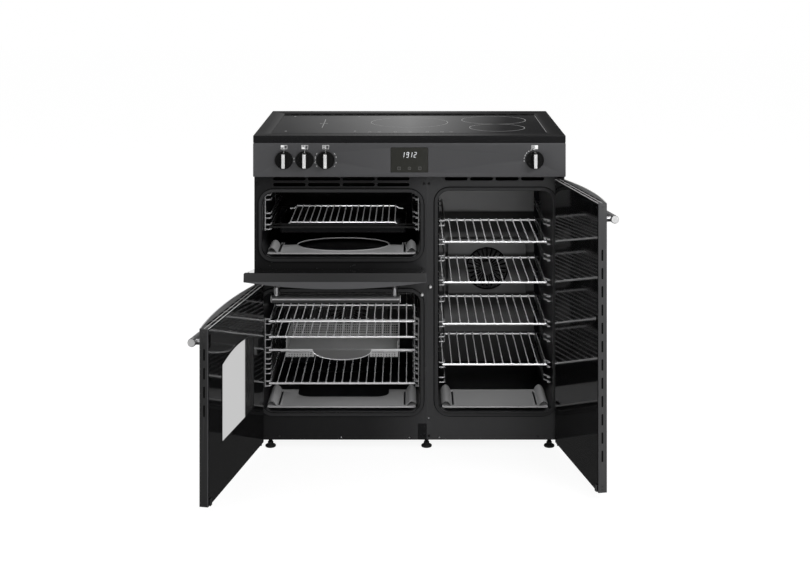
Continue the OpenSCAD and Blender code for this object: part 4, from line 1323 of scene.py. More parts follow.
    def _strips(self, shop: Workshop) -> None:
        """Adds the strips on the free edges, darkened as painted shade, with their slots, and the tabs at
        the foot.
        """
        step, length, width = self.slot
        near, far = self.strip
        tab_w, tab_t, tab_h = self.tab
        turn = Matrix(((0, 0, -1, 0), (0, 1, 0, 0), (1, 0, 0, 0), (0, 0, 0, 1)))
        for door, (foot, count) in zip((self.main, self.tall), self.slots):
            free, across = self._free(door), door.size[0] / 2
            holes = [
                rounded_rect(length, width, width / 2 - 0.01, (foot + step * i, self.thickness / 2))
                for i in range(count)
            ]
            outer = rounded_rect(door.size[1] - 2, far - near, 1, (door.size[1] / 2, (near + far) / 2))
            upright = Matrix.Translation((free * (across + self.strip_t / 2), 0, 0)) @ turn
            strip = Shape().plate(outer, holes, self.strip_t, 0.1, upright)
            xs = sorted((free * (across - 6), free * (across - 6 - tab_w)))
            strip.box((xs[0], self.thickness, 1), (xs[1], self.thickness + tab_t, 1 + tab_h), 0.6)
            # Painted shade: the main door's strip takes the darkest copy, the tall door's a lighter one.
            finish = "edge_mid" if door is self.tall else "edge_dark"
            self._add(shop, door, "strip", strip, finish, "black_enamel")
            # Painted shade: a near-black sheet behind the strip's slots.
            behind = Matrix.Translation((free * (across + self.BACKING_UP), 0, 0)) @ turn
            backs = Shape().plate(outer, [], self.BACKING, 0, behind)
            self._add(shop, door, "slot_backs", backs, "vent_black", "black_enamel")
            self._head(shop, door)
        wide, head = self.grill.size
        outer = rounded_rect(wide - 2, self.thickness - 2, 1, (0, self.thickness / 2))
        # The grill door's edge takes the darkest copy too, as painted shade.
        flat = Shape().plate(outer, [], self.strip_t, 0.1, lying_at(head + self.strip_t / 2))
        self._add(shop, self.grill, "strip", flat, "edge_dark", "black_enamel")

    def _head(self, shop: Workshop, door: Door) -> None:
        """Adds a side-hung door's head plate, with two rows of slots and pale rims as painted highlights.
        """
        wide, head = door.size
        half, inner = wide / 2 - 3, self.thickness - 1.5
        step, length, width = self.head_slot
        xs = [-half + 2 * half * i / 24 for i in range(25)]
        bowed = [(x, self._face(door, x) + 1.5) for x in xs]
        outer = bowed + [(half, inner), (-half, inner)]
        count = int((2 * half - 20) / step)
        holes = [
            rounded_rect(length, width, width / 2 - 0.01, (step * (i - (count - 1) / 2), y))
            for y in self.head_rows
            for i in range(count)
        ]
        plate = Shape().plate(outer, holes, self.strip_t, 0.1, lying_at(head + self.strip_t / 2))
        self._add(shop, door, "head", plate, "edge_mid", "anthracite")
        # Painted shade: a near-black sheet behind the head's slots.
        backs = Shape().plate(outer, [], self.BACKING, 0, lying_at(head + self.BACKING_UP))
        self._add(shop, door, "head_backs", backs, "vent_black", "black_enamel")
        # Painted highlights: pale tubes where the head's edges catch the light.
        outer_r, inner_r = self.rim_r
        rims = Shape().tube([(x, y - 0.3, head + 0.2) for x, y in bowed], outer_r, 8)
        for y in (sum(self.head_rows) / 2, inner):
            rims.tube([(-half, y, head + 0.3), (half, y, head + 0.3)], inner_r, 8)
        self._add(shop, door, "head_rims", rims, "bar_cap", "anthracite")

    def _screws(self, shop: Workshop, door: Door) -> None:
        """Adds the small screws near the corners of a door's inner panel and free edge."""
        width, height = door.size
        free, middle = self._free(door), self.thickness / 2
        screws = Shape()
        if door is not self.grill:
            profile = [(radius, free * up) for radius, up in self.edge_screw]
            for z in (*self.edge_screw_z, *(height - z for z in reversed(self.edge_screw_z))):
                screws.lathe(profile, (free * width / 2, middle, z), 0, 16)
        for x in (self.screw_in - width / 2, width / 2 - self.screw_in):
            for z in (self.screw_in, height - self.screw_in):
                screws.lathe(self.screw, (x, self.thickness, z), 1, 16)
        self._add(shop, door, "screws", screws, "dark_steel", "dark_steel")

    def _window_outline(self, grow: float) -> list[Flat]:
        """Gives the outline of the arched window, grown by a margin."""
        width, height, rise = self.window
        radius = (width**2 / 4 + rise**2) / (2 * rise)
        x, foot = width / 2 + grow, self.window_z - grow
        middle = self.window_z + height + rise - radius
        side = math.degrees(math.acos(x / (radius + grow)))
        arch = arc_points((0, middle), (radius + grow, radius + grow), side, 180 - side, 24)
        return [(-x, foot), (x, foot)] + arch

    def _window_trim(self, shop: Workshop) -> None:
        """Adds the thin trim round the window on the inner face of the main oven's door."""
        outer, inner = self._window_outline(3.0), self._window_outline(-0.5)
        trim = Shape().plate(outer, [inner], 1.2, 0.3, facing_front(self.thickness + 0.4))
        shop.add("window_trim", trim.move(self.main.place()), "door_panel", self.main.body, "black_enamel")


# -------- the ovens

LINER_SHEET = 1.5


@dataclass(frozen=True)
class FloorPlate:
    """A pressed floor plate: a deck with a large opening, a rolled front and raised wings.

    Attributes:
        liner: Node of the oven's liner.
        opening: Width and depth of the opening, and its middle's depth from the deck's front.
        corner: Radius of the opening's corners, or 0 for an oval with a rolled rim.
        pale: Depth of the pale front; behind it the deck is painted dark as shade, in the liner's enamel.
        levels: Heights at which the racks above it can carry a shelf or a tray.
        posts: Whether those racks have a post in front.
    """

    liner: str
    opening: Point
    corner: float
    pale: float
    levels: tuple[float, ...]
    posts: bool = True

    DECK_UP = 8.0  # above the oven's floor
    DECK = (2.8, 0.7)  # thickness and edge radius
    MARGIN = 13.0  # from the oven's wall to the deck
    DEPTH = 391.0
    SHEET = 1.2
    SLOT = (5.0, 130.0, 2.4)  # width, length and corner radius
    SLOT_IN = 32.0  # from the deck's side
    SLOT_BACK = 14.0  # from the deck's front
    RIB_IN = 6.0  # from a slot to the rib beside it
    WING = (27.0, 3.0, 15.0)  # inwards and outwards from the deck's side, and upwards
    WING_CUTS = (20.0, 14.0)  # rounded off its outer corners in front and behind
    RIM_R = 1.6

    def draw(self, shape: Shape, rear: Shape, front: float) -> None:
        """Adds the plate to two shapes.

        Args:
            shape: The shape that gathers the pale fronts.
            rear: The shape that gathers the rear parts, painted dark as shade.
            front: Depth of the plates' front edge.
        """
        low, high = mm_box(self.liner)
        middle = (low.x + high.x) / 2
        half = (high.x - low.x) / 2 - LINER_SHEET - self.MARGIN
        deck = low.z + LINER_SHEET + self.DECK_UP
        width, depth, back = self.opening
        centre = (middle, front + back)
        opening: list[Flat] = []
        if width and self.corner:
            opening = rounded_rect(width, depth, self.corner, centre)
        elif width:
            opening = oval(width, depth, centre)
            rim = oval(width + 2, depth + 2, centre)
            shape.tube([(x, y, deck + 0.8) for x, y in rim], self.RIM_R, 8, True)
        slot_w, slot_l, slot_r = self.SLOT
        first = front + self.SLOT_BACK
        holes = []
        for side in (-1, 1):
            x = middle + side * (half - self.SLOT_IN)
            holes.append(rounded_rect(slot_w, slot_l, slot_r, (x, first + slot_l / 2)))
            x -= side * self.RIB_IN
            shape.box((x - 1.2, first - 4, deck), (x + 1.2, first + slot_l - 2, deck + 2), 0.8)
            self._wing(shape, middle + side * half, side, front, deck)
        # Behind this depth the deck is painted dark, as shade.
        cut = front + self.pale

        def notch(part: list[Flat]) -> list[Flat]:
            """Leads the cut edge round one part of the opening."""
            return [(part[0][0], cut), *part, (part[-1][0], cut)] if part else []

        near = notch(sorted(((x, y) for x, y in opening if y < cut), key=lambda p: -p[0]))
        far = notch(sorted(((x, y) for x, y in opening if y > cut), key=lambda p: p[0]))
        left, right, last = middle - half, middle + half, front + self.DEPTH
        place = lying_at(deck - self.SHEET / 2)
        outline = [(left, front), (right, front), (right, cut), *near, (left, cut)]
        shape.plate(outline, holes, *self.DECK, place)
        rear.plate([(left, cut), *far, (right, cut), (right, last), (left, last)], [], *self.DECK, place)
        shape.box((left + 3, front - 1.2, deck - 3.2), (right - 3, front + 1.4, deck + 0.9), 0.6)

    def _wing(self, shape: Shape, x: float, side: int, front: float, deck: float) -> None:
        """Adds the wing beside the deck, which curves up towards the oven's wall."""
        inner, outer, rise = self.WING
        front_cut, back_cut = self.WING_CUTS
        rings = []
        for share in (i / 8 for i in range(9)):
            at = x + side * (share * (inner + outer) - inner)
            up = deck + rise * math.sin(share * math.pi) ** 0.8
            cut = 1 - math.sqrt(1 - share * share)
            y0, y1 = front + 3 + front_cut * cut, front + self.pale + 5 - back_cut * cut
            under = up - self.SHEET
            ring = [(at, y0, up), (at, y1, up), (at, y1, under), (at, y0, under)]
            rings.append([shape.bm.verts.new(point) for point in ring])
        shape.stack(rings)


@dataclass(frozen=True)
class Ovens:
    """What lies in the ovens: floor plates, racks, the low shelf, both trays and the tall back.

    Attributes:
        plates: The floor plates.
        guide: Radius of a rack's guides, and how far they lie below and above a level.
        post: Radius of a rack's posts, and the rear one's distance from the guides' rear ends.
        ends: From the front and the rear of the racks' node to the middle of the guides' ends.
        straight: From a guide's front end to its straight length.
        wall_in: From a liner's outer face to the ends of the guides.
        inset: From there to the guides.
        bend: Radii of a guide's front bend across and along the depth.
        rail_r: Radius of the rails.
        rod_r: Radius of the side rods.
        wire_r: Radius of the thin wires.
        reach: Half the width across the side rods.
        wires: Number of wires of a main oven's shelf.
        frame_up: From the foot or the head of a tray's node to its wire frame.
        tray: Width and depth of the roasting tray.
        tray_t: Thickness of its walls and radius of its rolled edges.
        tray_rail: Height of its rails above its foot plate's underside.
        tray_bars: Step between the upright and between the level bars of its rear wall.
        lip: Width, height and depth from the rail of its pierced lips.
        lip_holes: Width of a lip's holes, their steps across and down, and their number.
        grip: Half the width, drop and depth from the rail of its grip.
        grip_edge: Radius of the grip's bright lower edge.
        pan: Width and depth of the grill pan.
        pan_in: From the grill frame's front rail to its pan.
        pan_wall: Thickness of the pan's walls, and their corner radius.
        trivet: Width across the trivet's wires, and their number.
        trivet_end: From the trivet's middle to the foot and the heel of its bent cross rods.
        back_in: From the liner's sides, and from its head and foot, to the sheet on its back.
        fan_face: Left and right, foot and head, and depth of the face of the tall oven's fan cover.
        fan_ring: Radius of the ring round the fan, and of its wire.
    """

    plates: tuple[FloorPlate, ...] = (
        FloorPlate("top_oven_liner", (272, 183, 119), 0, 113, (635, 668, 722)),
        FloorPlate("main_oven_liner", (272, 250, 215), 36, 160, (176, 212, 241, 274, 312, 358)),
        FloorPlate(
            "tall_oven_liner", (0, 0, 0), 0, 160, (187, 231, 306, 350, 424, 472, 543, 591, 646), False
        ),
    )
    guide: Point = (2.0, 5.75, 8.25)
    post: Flat = (1.6, 35.0)
    ends: Flat = (3, 2.5)
    straight: float = 29.5
    wall_in: float = 5.5
    inset: float = 16
    bend: Flat = (7, 7.5)
    rail_r: float = 3.0
    rod_r: float = 2.0
    wire_r: float = 1.7
    reach: float = 213
    wires: int = 17
    frame_up: float = 26
    tray: Flat = (329, 190)
    tray_t: float = 1.6
    tray_rail: float = 12
    tray_bars: Flat = (6.0, 7.0)
    lip: Point = (83, 17, -2.4)
    lip_holes: tuple[float, float, float, int, int] = (3.4, 8, 5.5, 9, 3)
    grip: Point = (86, 27, -3.2)
    grip_edge: float = 1.2
    pan: Flat = (378, 276)
    pan_in: float = 45
    pan_wall: Flat = (2.0, 12)
    trivet: tuple[float, int] = (310, 17)
    trivet_end: Flat = (178, 165)
    back_in: Flat = (15, 6)
    fan_face: tuple[Flat, Flat, float] = ((125, 375), (326, 514), 200)
    fan_ring: Flat = (66, 2.4)

    def build(self, shop: Workshop) -> None:
        """Adds the pieces."""
        plates, shaded_rears = Shape(), Shape()
        front = mm_box("oven_floor_plates")[0].y
        for plate in self.plates:
            plate.draw(plates, shaded_rears, front)
        # The decks' rear parts are painted shade, in the liner's dark enamel.
        shop.add("rear_decks", shaded_rears, "liner_enamel", "cooker", "black_enamel")
        shop.add("floor_plates", plates, "grey_enamel", "cooker", "grey_enamel", "oven_floor_plates")
        self._racks(shop)
        self._tall_back(shop)
        self._low_shelf(shop)
        self._roasting_tray(shop)
        self._grill_pan(shop)

    def _racks(self, shop: Workshop) -> None:
        """Adds the side racks: pairs of guides whose front ends turn to the wall, and thin posts."""
        low, high = mm_box("side_racks")
        tip, back = low.y + self.ends[0], high.y - self.ends[1]
        post_r, post_in = self.post
        guide_r, below, above = self.guide
        straight_y, bend_y, post_y = tip + self.straight, tip + self.bend[1], back - post_in
        racks, guides = Shape(), Shape()
        for plate in self.plates:
            box_low, box_high = mm_box(plate.liner)
            foot, head = plate.levels[0] - below - 3, plate.levels[-1] + above + 3
            for side, wall in ((-1, box_low.x + self.wall_in), (1, box_high.x - self.wall_in)):
                x = wall - side * self.inset
                guides.tube([(wall, post_y, foot), (wall, post_y, head)], post_r, 8)
                if plate.posts:
                    racks.tube([(wall, tip, foot), (wall, tip, head)], post_r, 8)
                for z in [level + off for level in plate.levels for off in (-below, above)]:
                    guides.tube([(x, post_y, z), (wall, post_y, z)], guide_r, 8)
                    guides.tube([(x, back, z), (x, straight_y, z)], guide_r, 8)
                    bend = arc_points((x + side * self.bend[0], bend_y), self.bend, 0, -90, 5)
                    path = [(x, straight_y), *bend, (wall, tip)]
                    racks.tube([(px, py, z) for px, py in path], guide_r, 8)
        shop.add("rack_wires", racks, "rack_wire", "cooker", "chrome_wire", "side_racks")
        # The guides take a darker copy of the wire: painted shade.
        shop.add("rack_guides", guides, "guide_wire", "cooker", "chrome_wire")

    def _tall_back(self, shop: Workshop) -> None:
        """Adds the sheets on the tall oven's back and fan cover, with painted shelf shadows, and the ring
        round its fan.
        """
        low, high = mm_box("tall_oven_liner")
        (x0, x1), (z0, z1), y = self.fan_face
        size, middle = high - low, (high + low) / 2
        side_in, end_in = self.back_in
        outer = rounded_rect(size.x - 2 * side_in, size.z - 2 * end_in, 12, (middle.x, middle.z))
        sheets = Shape().plate(outer, [], 0.4, 0, facing_front(high.y - LINER_SHEET - 0.3))
        centre = ((x0 + x1) / 2, (z0 + z1) / 2)
        radius, wire = self.fan_ring
        hole = oval(2 * radius, 2 * radius, centre)
        sheets.plate(rounded_rect(x1 - x0, z1 - z0, 8, centre), [hole], 0.6, 0.1, facing_front(y - 0.4))
        # The sheets carry painted shadows of the shelves.
        shop.add("tall_back_sheets", sheets, "back_sheet", "cooker", "grey_enamel")
        ring = Shape().tube([(px, y - 0.8, pz) for px, pz in hole], wire, 8, True)
        shop.add("tall_fan_ring", ring, "vent_black", "cooker", "black_enamel")

    def _rim(self, middle: float, front: float, back: float, height: float) -> Shape:
        """Draws the wire frame that a tray hangs in."""
        rim = Shape()
        half = self.reach + 1
        for y in (front, back):
            rim.tube([(middle - half, y, height), (middle + half, y, height)], self.rail_r)
        for x in (middle - self.reach, middle + self.reach):
            rim.tube([(x, front, height), (x, back, height)], self.rod_r)
        return rim

    def _low_shelf(self, shop: Workshop) -> None:
        """Adds the main oven's low shelf: two rails, two side rods and thin wires."""
        low, high = mm_box("main_shelf_low")
        middle = (low.x + high.x) / 2
        front, back = low.y + self.rail_r, high.y - self.rail_r
        rim = self._rim(middle, front, back, low.z + self.rail_r)
        shop.add("main_shelf_low_rim", rim, "chrome_wire", "low_shelf", "chrome_wire", "main_shelf_low")
        pitch = 2 * self.reach / (self.wires + 1)
        x, z = middle - self.reach + pitch, high.z - self.wire_r
        wire = Shape().tube([(x, front - 1, z), (x, back + 1, z)], self.wire_r, 8)
        row = (self.wires, (pitch, 0, 0))
        shop.add("main_shelf_low_wires", wire, "chrome_wire", "low_shelf", "chrome_wire", row=row)

    def _roasting_tray(self, shop: Workshop) -> None:
        """Adds the roasting tray: a pan with pierced ends, a smooth grip in front and its frame."""
        body = "roasting_tray_body"
        low, high = mm_box("roasting_tray")
        middle = (low.x + high.x) / 2
        front, back = low.y + 4.5, high.y - self.rail_r
        height, top = high.z - self.frame_up, high.z - 1
        width, depth = self.tray
        x, y0, y1 = width / 2, front + 2, front + 2 + depth
        left, right, foot, wall = middle - x, middle + x, height - self.tray_rail, self.tray_t
        rim = self._rim(middle, front, back, height)
        for rod in (left - 2, right + 2):
            rim.tube([(rod, front, height), (rod, back, height)], self.rod_r)
        shop.add("roasting_rim", rim, "chrome_wire", body, "chrome_wire")
        pan = Shape().box((left, y0, foot), (right, y1, foot + wall), 0.5)
        for edge, inner in ((left, left), (right, right - wall)):
            pan.box((inner, y0, foot), (inner + wall, y1, high.z), 0.5)
            pan.tube([(edge, y0, top), (edge, y1, top)], wall, 8)
        for z in (top, foot + 5):
            pan.tube([(left, y1, z), (right, y1, z)], wall, 8)
        lip_w, lip_h, lip_y = self.lip
        hole, across, down, columns, rows = self.lip_holes
        for lip in (left + lip_w / 2, right - lip_w / 2):
            holes = [
                oval(hole, hole, (lip + across * (i - (columns - 1) / 2), height - 7 - down * row), 10)
                for i in range(columns)
                for row in range(rows)
            ]
            outer = rounded_rect(lip_w, lip_h, 1.5, (lip, height - 3 - lip_h / 2))
            pan.plate(outer, holes, 1.4, 0.3, facing_front(front + lip_y))
        self._grip(shop, body, middle, front, height)
        shop.add("roasting_pan", pan, "tray_steel", body, "tray_steel", "roasting_tray")
        pitch, rise = self.tray_bars
        bar = Shape().box((left, y1 - 0.8, foot), (left + 2.2, y1 + 0.8, top), 0.3, 1)
        row = (int(width / pitch), (pitch, 0, 0))
        shop.add("roasting_upright_bars", bar, "tray_steel", body, "tray_steel", row=row)
        bar = Shape().box((left, y1 - 0.7, foot + 6), (right, y1 + 0.7, foot + 8.6), 0.3, 1)
        shop.add("roasting_level_bars", bar, "tray_steel", body, "tray_steel", row=(5, (0, 0, rise)))

    def _grip(self, shop: Workshop, body: str, middle: float, front: float, height: float) -> None:
        """Adds the smooth grip in the middle of the tray's front, with a bright lower edge."""
        half, drop, y = self.grip
        edge = arc_points((middle, height - 1), (half, drop), 180, 360, 32)
        outer = edge + [(middle + half, height + 3), (middle - half, height + 3)]
        grip = Shape().plate(outer, [], 1.4, 0.3, facing_front(front + y))
        shop.add("roasting_grip", grip, "grip_steel", body, "tray_steel")
        wire = Shape().tube([(px, front + y, pz) for px, pz in edge], self.grip_edge, 8)
        shop.add("roasting_grip_edge", wire, "chrome_wire", body, "chrome_wire")

    def _grill_pan(self, shop: Workshop) -> None:
        """Adds the grill pan with its trivet of thin wires."""
        body = "grill_pan_body"
        low, high = mm_box("grill_pan")
        middle = (low.x + high.x) / 2
        front, back = low.y + self.rail_r, high.y - self.rail_r
        height = low.z + self.frame_up
        width, depth = self.pan
        y0, y1 = front + self.pan_in, front + self.pan_in + depth
        rim = self._rim(middle, front, back, height)
        for y in (y0 - 1, y1 + 1):
            rim.tube([(middle - self.reach, y, height), (middle + self.reach, y, height)], self.rod_r)
        shop.add("grill_rim", rim, "pan_frame", body, "dark_steel")
        span, count = self.trivet
        foot, heel = self.trivet_end
        top = height + 2 * self.rod_r
        ends = [(foot, height - 4), (heel, height - 3), (span / 2, top)]
        path = [(-x, z) for x, z in ends] + ends[::-1]
        rods = Shape()
        for y in (y0 + 6, y1 - 6):
            rods.tube([(middle + x, y, z) for x, z in path], self.rod_r)
        shop.add("grill_trivet_rods", rods, "chrome_wire", body, "chrome_wire")
        wall, corner = self.pan_wall
        centre = (middle, (y0 + y1) / 2)
        outline = rounded_rect(width, depth, corner, centre)
        inner = rounded_rect(width - 2 * wall, depth - 2 * wall, corner - wall, centre)
        pan = Shape().plate(outline, [inner], height - low.z, 0.6, lying_at((low.z + height) / 2))
        pan.plate(outline, [], wall, 0.4, lying_at(low.z + wall / 2))
        lip = rounded_rect(width + 8, depth, corner, centre)
        pan.plate(lip, [inner], 2.0, 0.6, lying_at(height - 0.6))
        shop.add("grill_tray", pan, "black_enamel", body, "black_enamel", "grill_pan")
        x, top = middle - span / 2, top + self.rod_r + self.wire_r - 0.6
        path = [(x, y0 + 4, top - 3), (x, y0 + 7, top), (x, y1 - 7, top), (x, y1 - 4, top - 3)]
        row = (count, (span / (count - 1), 0, 0))
        wire = Shape().tube(path, self.wire_r, 8)
        shop.add("grill_trivet_wires", wire, "chrome_wire", body, "chrome_wire", row=row)


# -------- the casing


@dataclass(frozen=True)
class Casing:
    """Small parts of the casing: plinth screws and cover, shade painted in holes and mouth grooves, and
    feet.

    Attributes:
        screws: Places and heights of the screws in the plinth and beside the seam.
        screw: Profile of a screw's head: radius, and depth from the front.
        holes: Places and heights of the dark discs painted as shade in the holes beside the screws.
        hole_r: Radius of a hole.
        cover: Left, right, foot and head of the cover plate left of the seam.
        groove: From a liner's flange to the groove round its seal, its width and inner corner.
        foot_r: Radius of a foot.
        foot: Points of a foot's outline: radius and height.
        stem: Core and crest radius, foot and head, and pitch of a foot's thread.
        ribs: Number of the ribs round a foot's disc.
    """

    screws: tuple[Flat, ...] = ((-198, 33.6), (0, 33.6), (87, 33.6), (56, 89))
    screw: tuple[Flat, ...] = ((0, -1.4), (1.6, -1.1), (2.8, -0.2), (2.8, 0.5), (0, 0.5))
    holes: tuple[Flat, ...] = ((-377, 38), (373, 38))
    hole_r: float = 3.2
    cover: tuple[float, float, float, float] = (24.7, 50, 28.5, 75)
    groove: Point = (9, 2.4, 44)
    foot_r: float = 18
    foot: tuple[Flat, ...] = (
        (0, 0), (14, 0), (15.3, 1.2), (15.3, 5), (13, 7), (8, 9), (8, 15), (0, 15)
    )
    stem: tuple[float, float, float, float, float] = (5.2, 6.0, 14, 28, 2)
    ribs: int = 24

    def build(self, shop: Workshop) -> None:
        """Adds the pieces."""
        face = mm_box("front_frame_left")[0].y
        screws, holes = Shape(), Shape()
        for x, z in self.screws:
            screws.lathe(self.screw, (x, face, z), 1, 20)
        # Dark discs stand for the holes: painted shade inside them.
        for x, z in self.holes:
            holes.lathe(drum(self.hole_r, -0.2, 0.5), (x, face, z), 1, 20)
        shop.add("plinth_screws", screws, "steel", "cooker", "steel")
        shop.add("plinth_holes", holes, "black_plastic", "cooker", "black_plastic")
        x0, x1, z0, z1 = self.cover
        outer = rounded_rect(x1 - x0, z1 - z0, 1.5, ((x0 + x1) / 2, (z0 + z1) / 2))
        cover = Shape().plate(outer, [], 1.2, 0.4, facing_front(face - 0.6))
        shop.add("plinth_cover", cover, "black_enamel", "cooker", "black_enamel")
        self._grooves(shop, face)
        self._feet(shop)

    def _grooves(self, shop: Workshop, face: float) -> None:
        """Adds flat dark rings round the seals of the three mouths: painted shade in their grooves."""
        grooves = Shape()
        gap, line, corner = self.groove
        for liner in ("top_oven_liner", "main_oven_liner", "tall_oven_liner"):
            outer = outline_of(liner, corner + line, gap + line, 2)
            inner = outline_of(liner, corner, gap, 2)
            grooves.plate(outer, [inner], 0.3, 0, facing_front(face - 0.05))
        # The rings stand for the grooves: painted shade, not cuts.
        shop.add("mouth_grooves", grooves, "vent_black", "cooker", "seal_rubber")

    def _feet(self, shop: Workshop) -> None:
        """Adds the levelling feet: a ribbed disc on a threaded stem."""
        low, high = mm_box("levelling_feet")
        r = self.foot_r
        xs = (low.x + r, mm_box("front_frame_left")[1].x, high.x - r)
        places = [(x, y, 0) for x in xs for y in (low.y + r, high.y - r)]
        core, crest, foot, head, pitch = self.stem
        thread = [(0, foot)]
        for z in range(int(foot), int(head), int(pitch)):
            thread += [(core, z), (crest, z + pitch / 2)]
        thread += [(core, head), (0, head)]
        discs, stems = Shape(), Shape()
        for place in places:
            discs.lathe(self.foot, place, 2, 40)
            stems.lathe(thread, place, 2, 24)
        shop.add("foot_discs", discs, "black_plastic", "cooker", "black_plastic", "levelling_feet")
        shop.add("foot_stems", stems, "dark_steel", "cooker", "dark_steel")
        upright = Matrix.Rotation(math.pi / 2, 4, "X")
        for number, place in enumerate(places, 1):
            rib = Shape().box((r - 3.1, -0.8, 1.5), (r - 2.5, 0.8, 4.8), 0.3, 1)
            made = shop.piece(f"foot_ribs_{number}", rib.move(upright.inverted()), "black_plastic")
            shop.repeater.ring(made, self.ribs)
            made.data.transform(Matrix.Translation(Vector(place) * MM) @ upright)
            shop.fit(made, "cooker", "black_plastic")


# -------- the studio


@dataclass(frozen=True)
class Camera:
    """The photograph's camera, which looks down on the cooker with its film plane upright.

    Attributes:
        place: Where the camera stands.
        focal_px: Focal length over the upright film, in pixels of the photograph.
        image_px: Width and height of the photograph.
        vanishing_px: Where lines along the depth meet in the photograph.
        sensor_mm: Width of the film.
    """

    place: Point = (0.0, -4.452, 1.478)
    focal_px: float = 1443.0
    image_px: Flat = (810.0, 585.0)
    vanishing_px: Flat = (409.4, -60.0)
    sensor_mm: float = 36.0

    def build(self) -> bpy.types.Object:
        """Adds the camera to the scene.

        The photograph's verticals are parallel, so its film plane is upright. The camera turns
        down towards the cooker, and a parent with a sheared matrix keeps its film upright.

        Returns:
            The camera object.
        """
        width, height = self.image_px
        drop = (height / 2 - self.vanishing_px[1]) / self.focal_px
        tilt = math.atan(drop)
        data = bpy.data.cameras.new("camera")
        data.sensor_width = self.sensor_mm
        data.lens = self.focal_px / math.cos(tilt) * self.sensor_mm / width
        data.shift_x = (width / 2 - self.vanishing_px[0]) / width
        data.clip_end = 50.0
        camera = bpy.data.objects.new("camera", data)
        camera.location = self.place
        camera.rotation_euler = (math.pi / 2 - tilt, 0.0, 0.0)
        film = Matrix.Identity(4)
        film.col[1] = (0.0, 0.0, 1.0, 0.0)
        film.col[2] = (0.0, -math.cos(tilt), math.sin(tilt), 0.0)
        film.col[3] = (*self.place, 1.0)
        holder = bpy.data.objects.new("camera_holder", None)
        for item in (holder, camera):
            bpy.context.scene.collection.objects.link(item)
        bpy.context.view_layer.update()
        camera.parent = holder
        camera.matrix_parent_inverse = film @ camera.matrix_basis.inverted()
        bpy.context.scene.camera = camera
        return camera


@dataclass(frozen=True)
class SoftBox:
    """An area lamp that faces the cooker.

    Attributes:
        name: The lamp's name.
        place: Where it hangs.
        size: Width and height.
        power: Watts.
        mirrored: Whether glossy surfaces show it.
    """

    name: str
    place: Point
    size: Flat
    power: float
    mirrored: bool = True

    def build(self, target: Vector) -> bpy.types.Object:
        """Adds the lamp, turned towards a point.

        Args:
            target: The point that it faces.

        Returns:
            The lamp, which the camera doesn't see.
        """
        data = bpy.data.lights.new(self.name, "AREA")
        data.shape = "RECTANGLE"
        data.size, data.size_y = self.size
        data.energy = self.power
        lamp = bpy.data.objects.new(self.name, data)
        lamp.location = self.place
        lamp.rotation_euler = (target - lamp.location).to_track_quat("-Z", "Y").to_euler()
        lamp.visible_camera = False
        lamp.visible_glossy = self.mirrored
        bpy.context.scene.collection.objects.link(lamp)
        return lamp


@dataclass(frozen=True)
class LampGroup:
    """Lamps that light only some pieces, with only those pieces in their way.

    Attributes:
        name: The group's name.
        things: Words that the names of its pieces hold.
        lamps: The lamps.
        screens: Further pieces that shade them.
        target: The point that they face.
    """

    name: str
    things: tuple[str, ...]
    lamps: tuple[SoftBox, ...]
    screens: tuple[str, ...] = ()
    target: Point = (0.0, 0.0, 0.4)

    @staticmethod
    def _gather(name: str, words: tuple[str, ...]) -> bpy.types.Collection:
        """Gathers the pieces whose names hold one of the words."""
        found = bpy.data.collections.new(name)
        for thing in bpy.data.objects:
            if thing.type == "MESH" and any(word in thing.name for word in words):
                found.objects.link(thing)
        return found

    def build(self) -> None:
        """Adds the lamps and links them to the pieces."""
        lit = self._gather(self.name, self.things)
        shading = self._gather(f"{self.name}_shading", self.things + self.screens)
        for soft_box in self.lamps:
            lamp = soft_box.build(Vector(self.target))
            lamp.light_linking.receiver_collection = lit
            lamp.light_linking.blocker_collection = shading


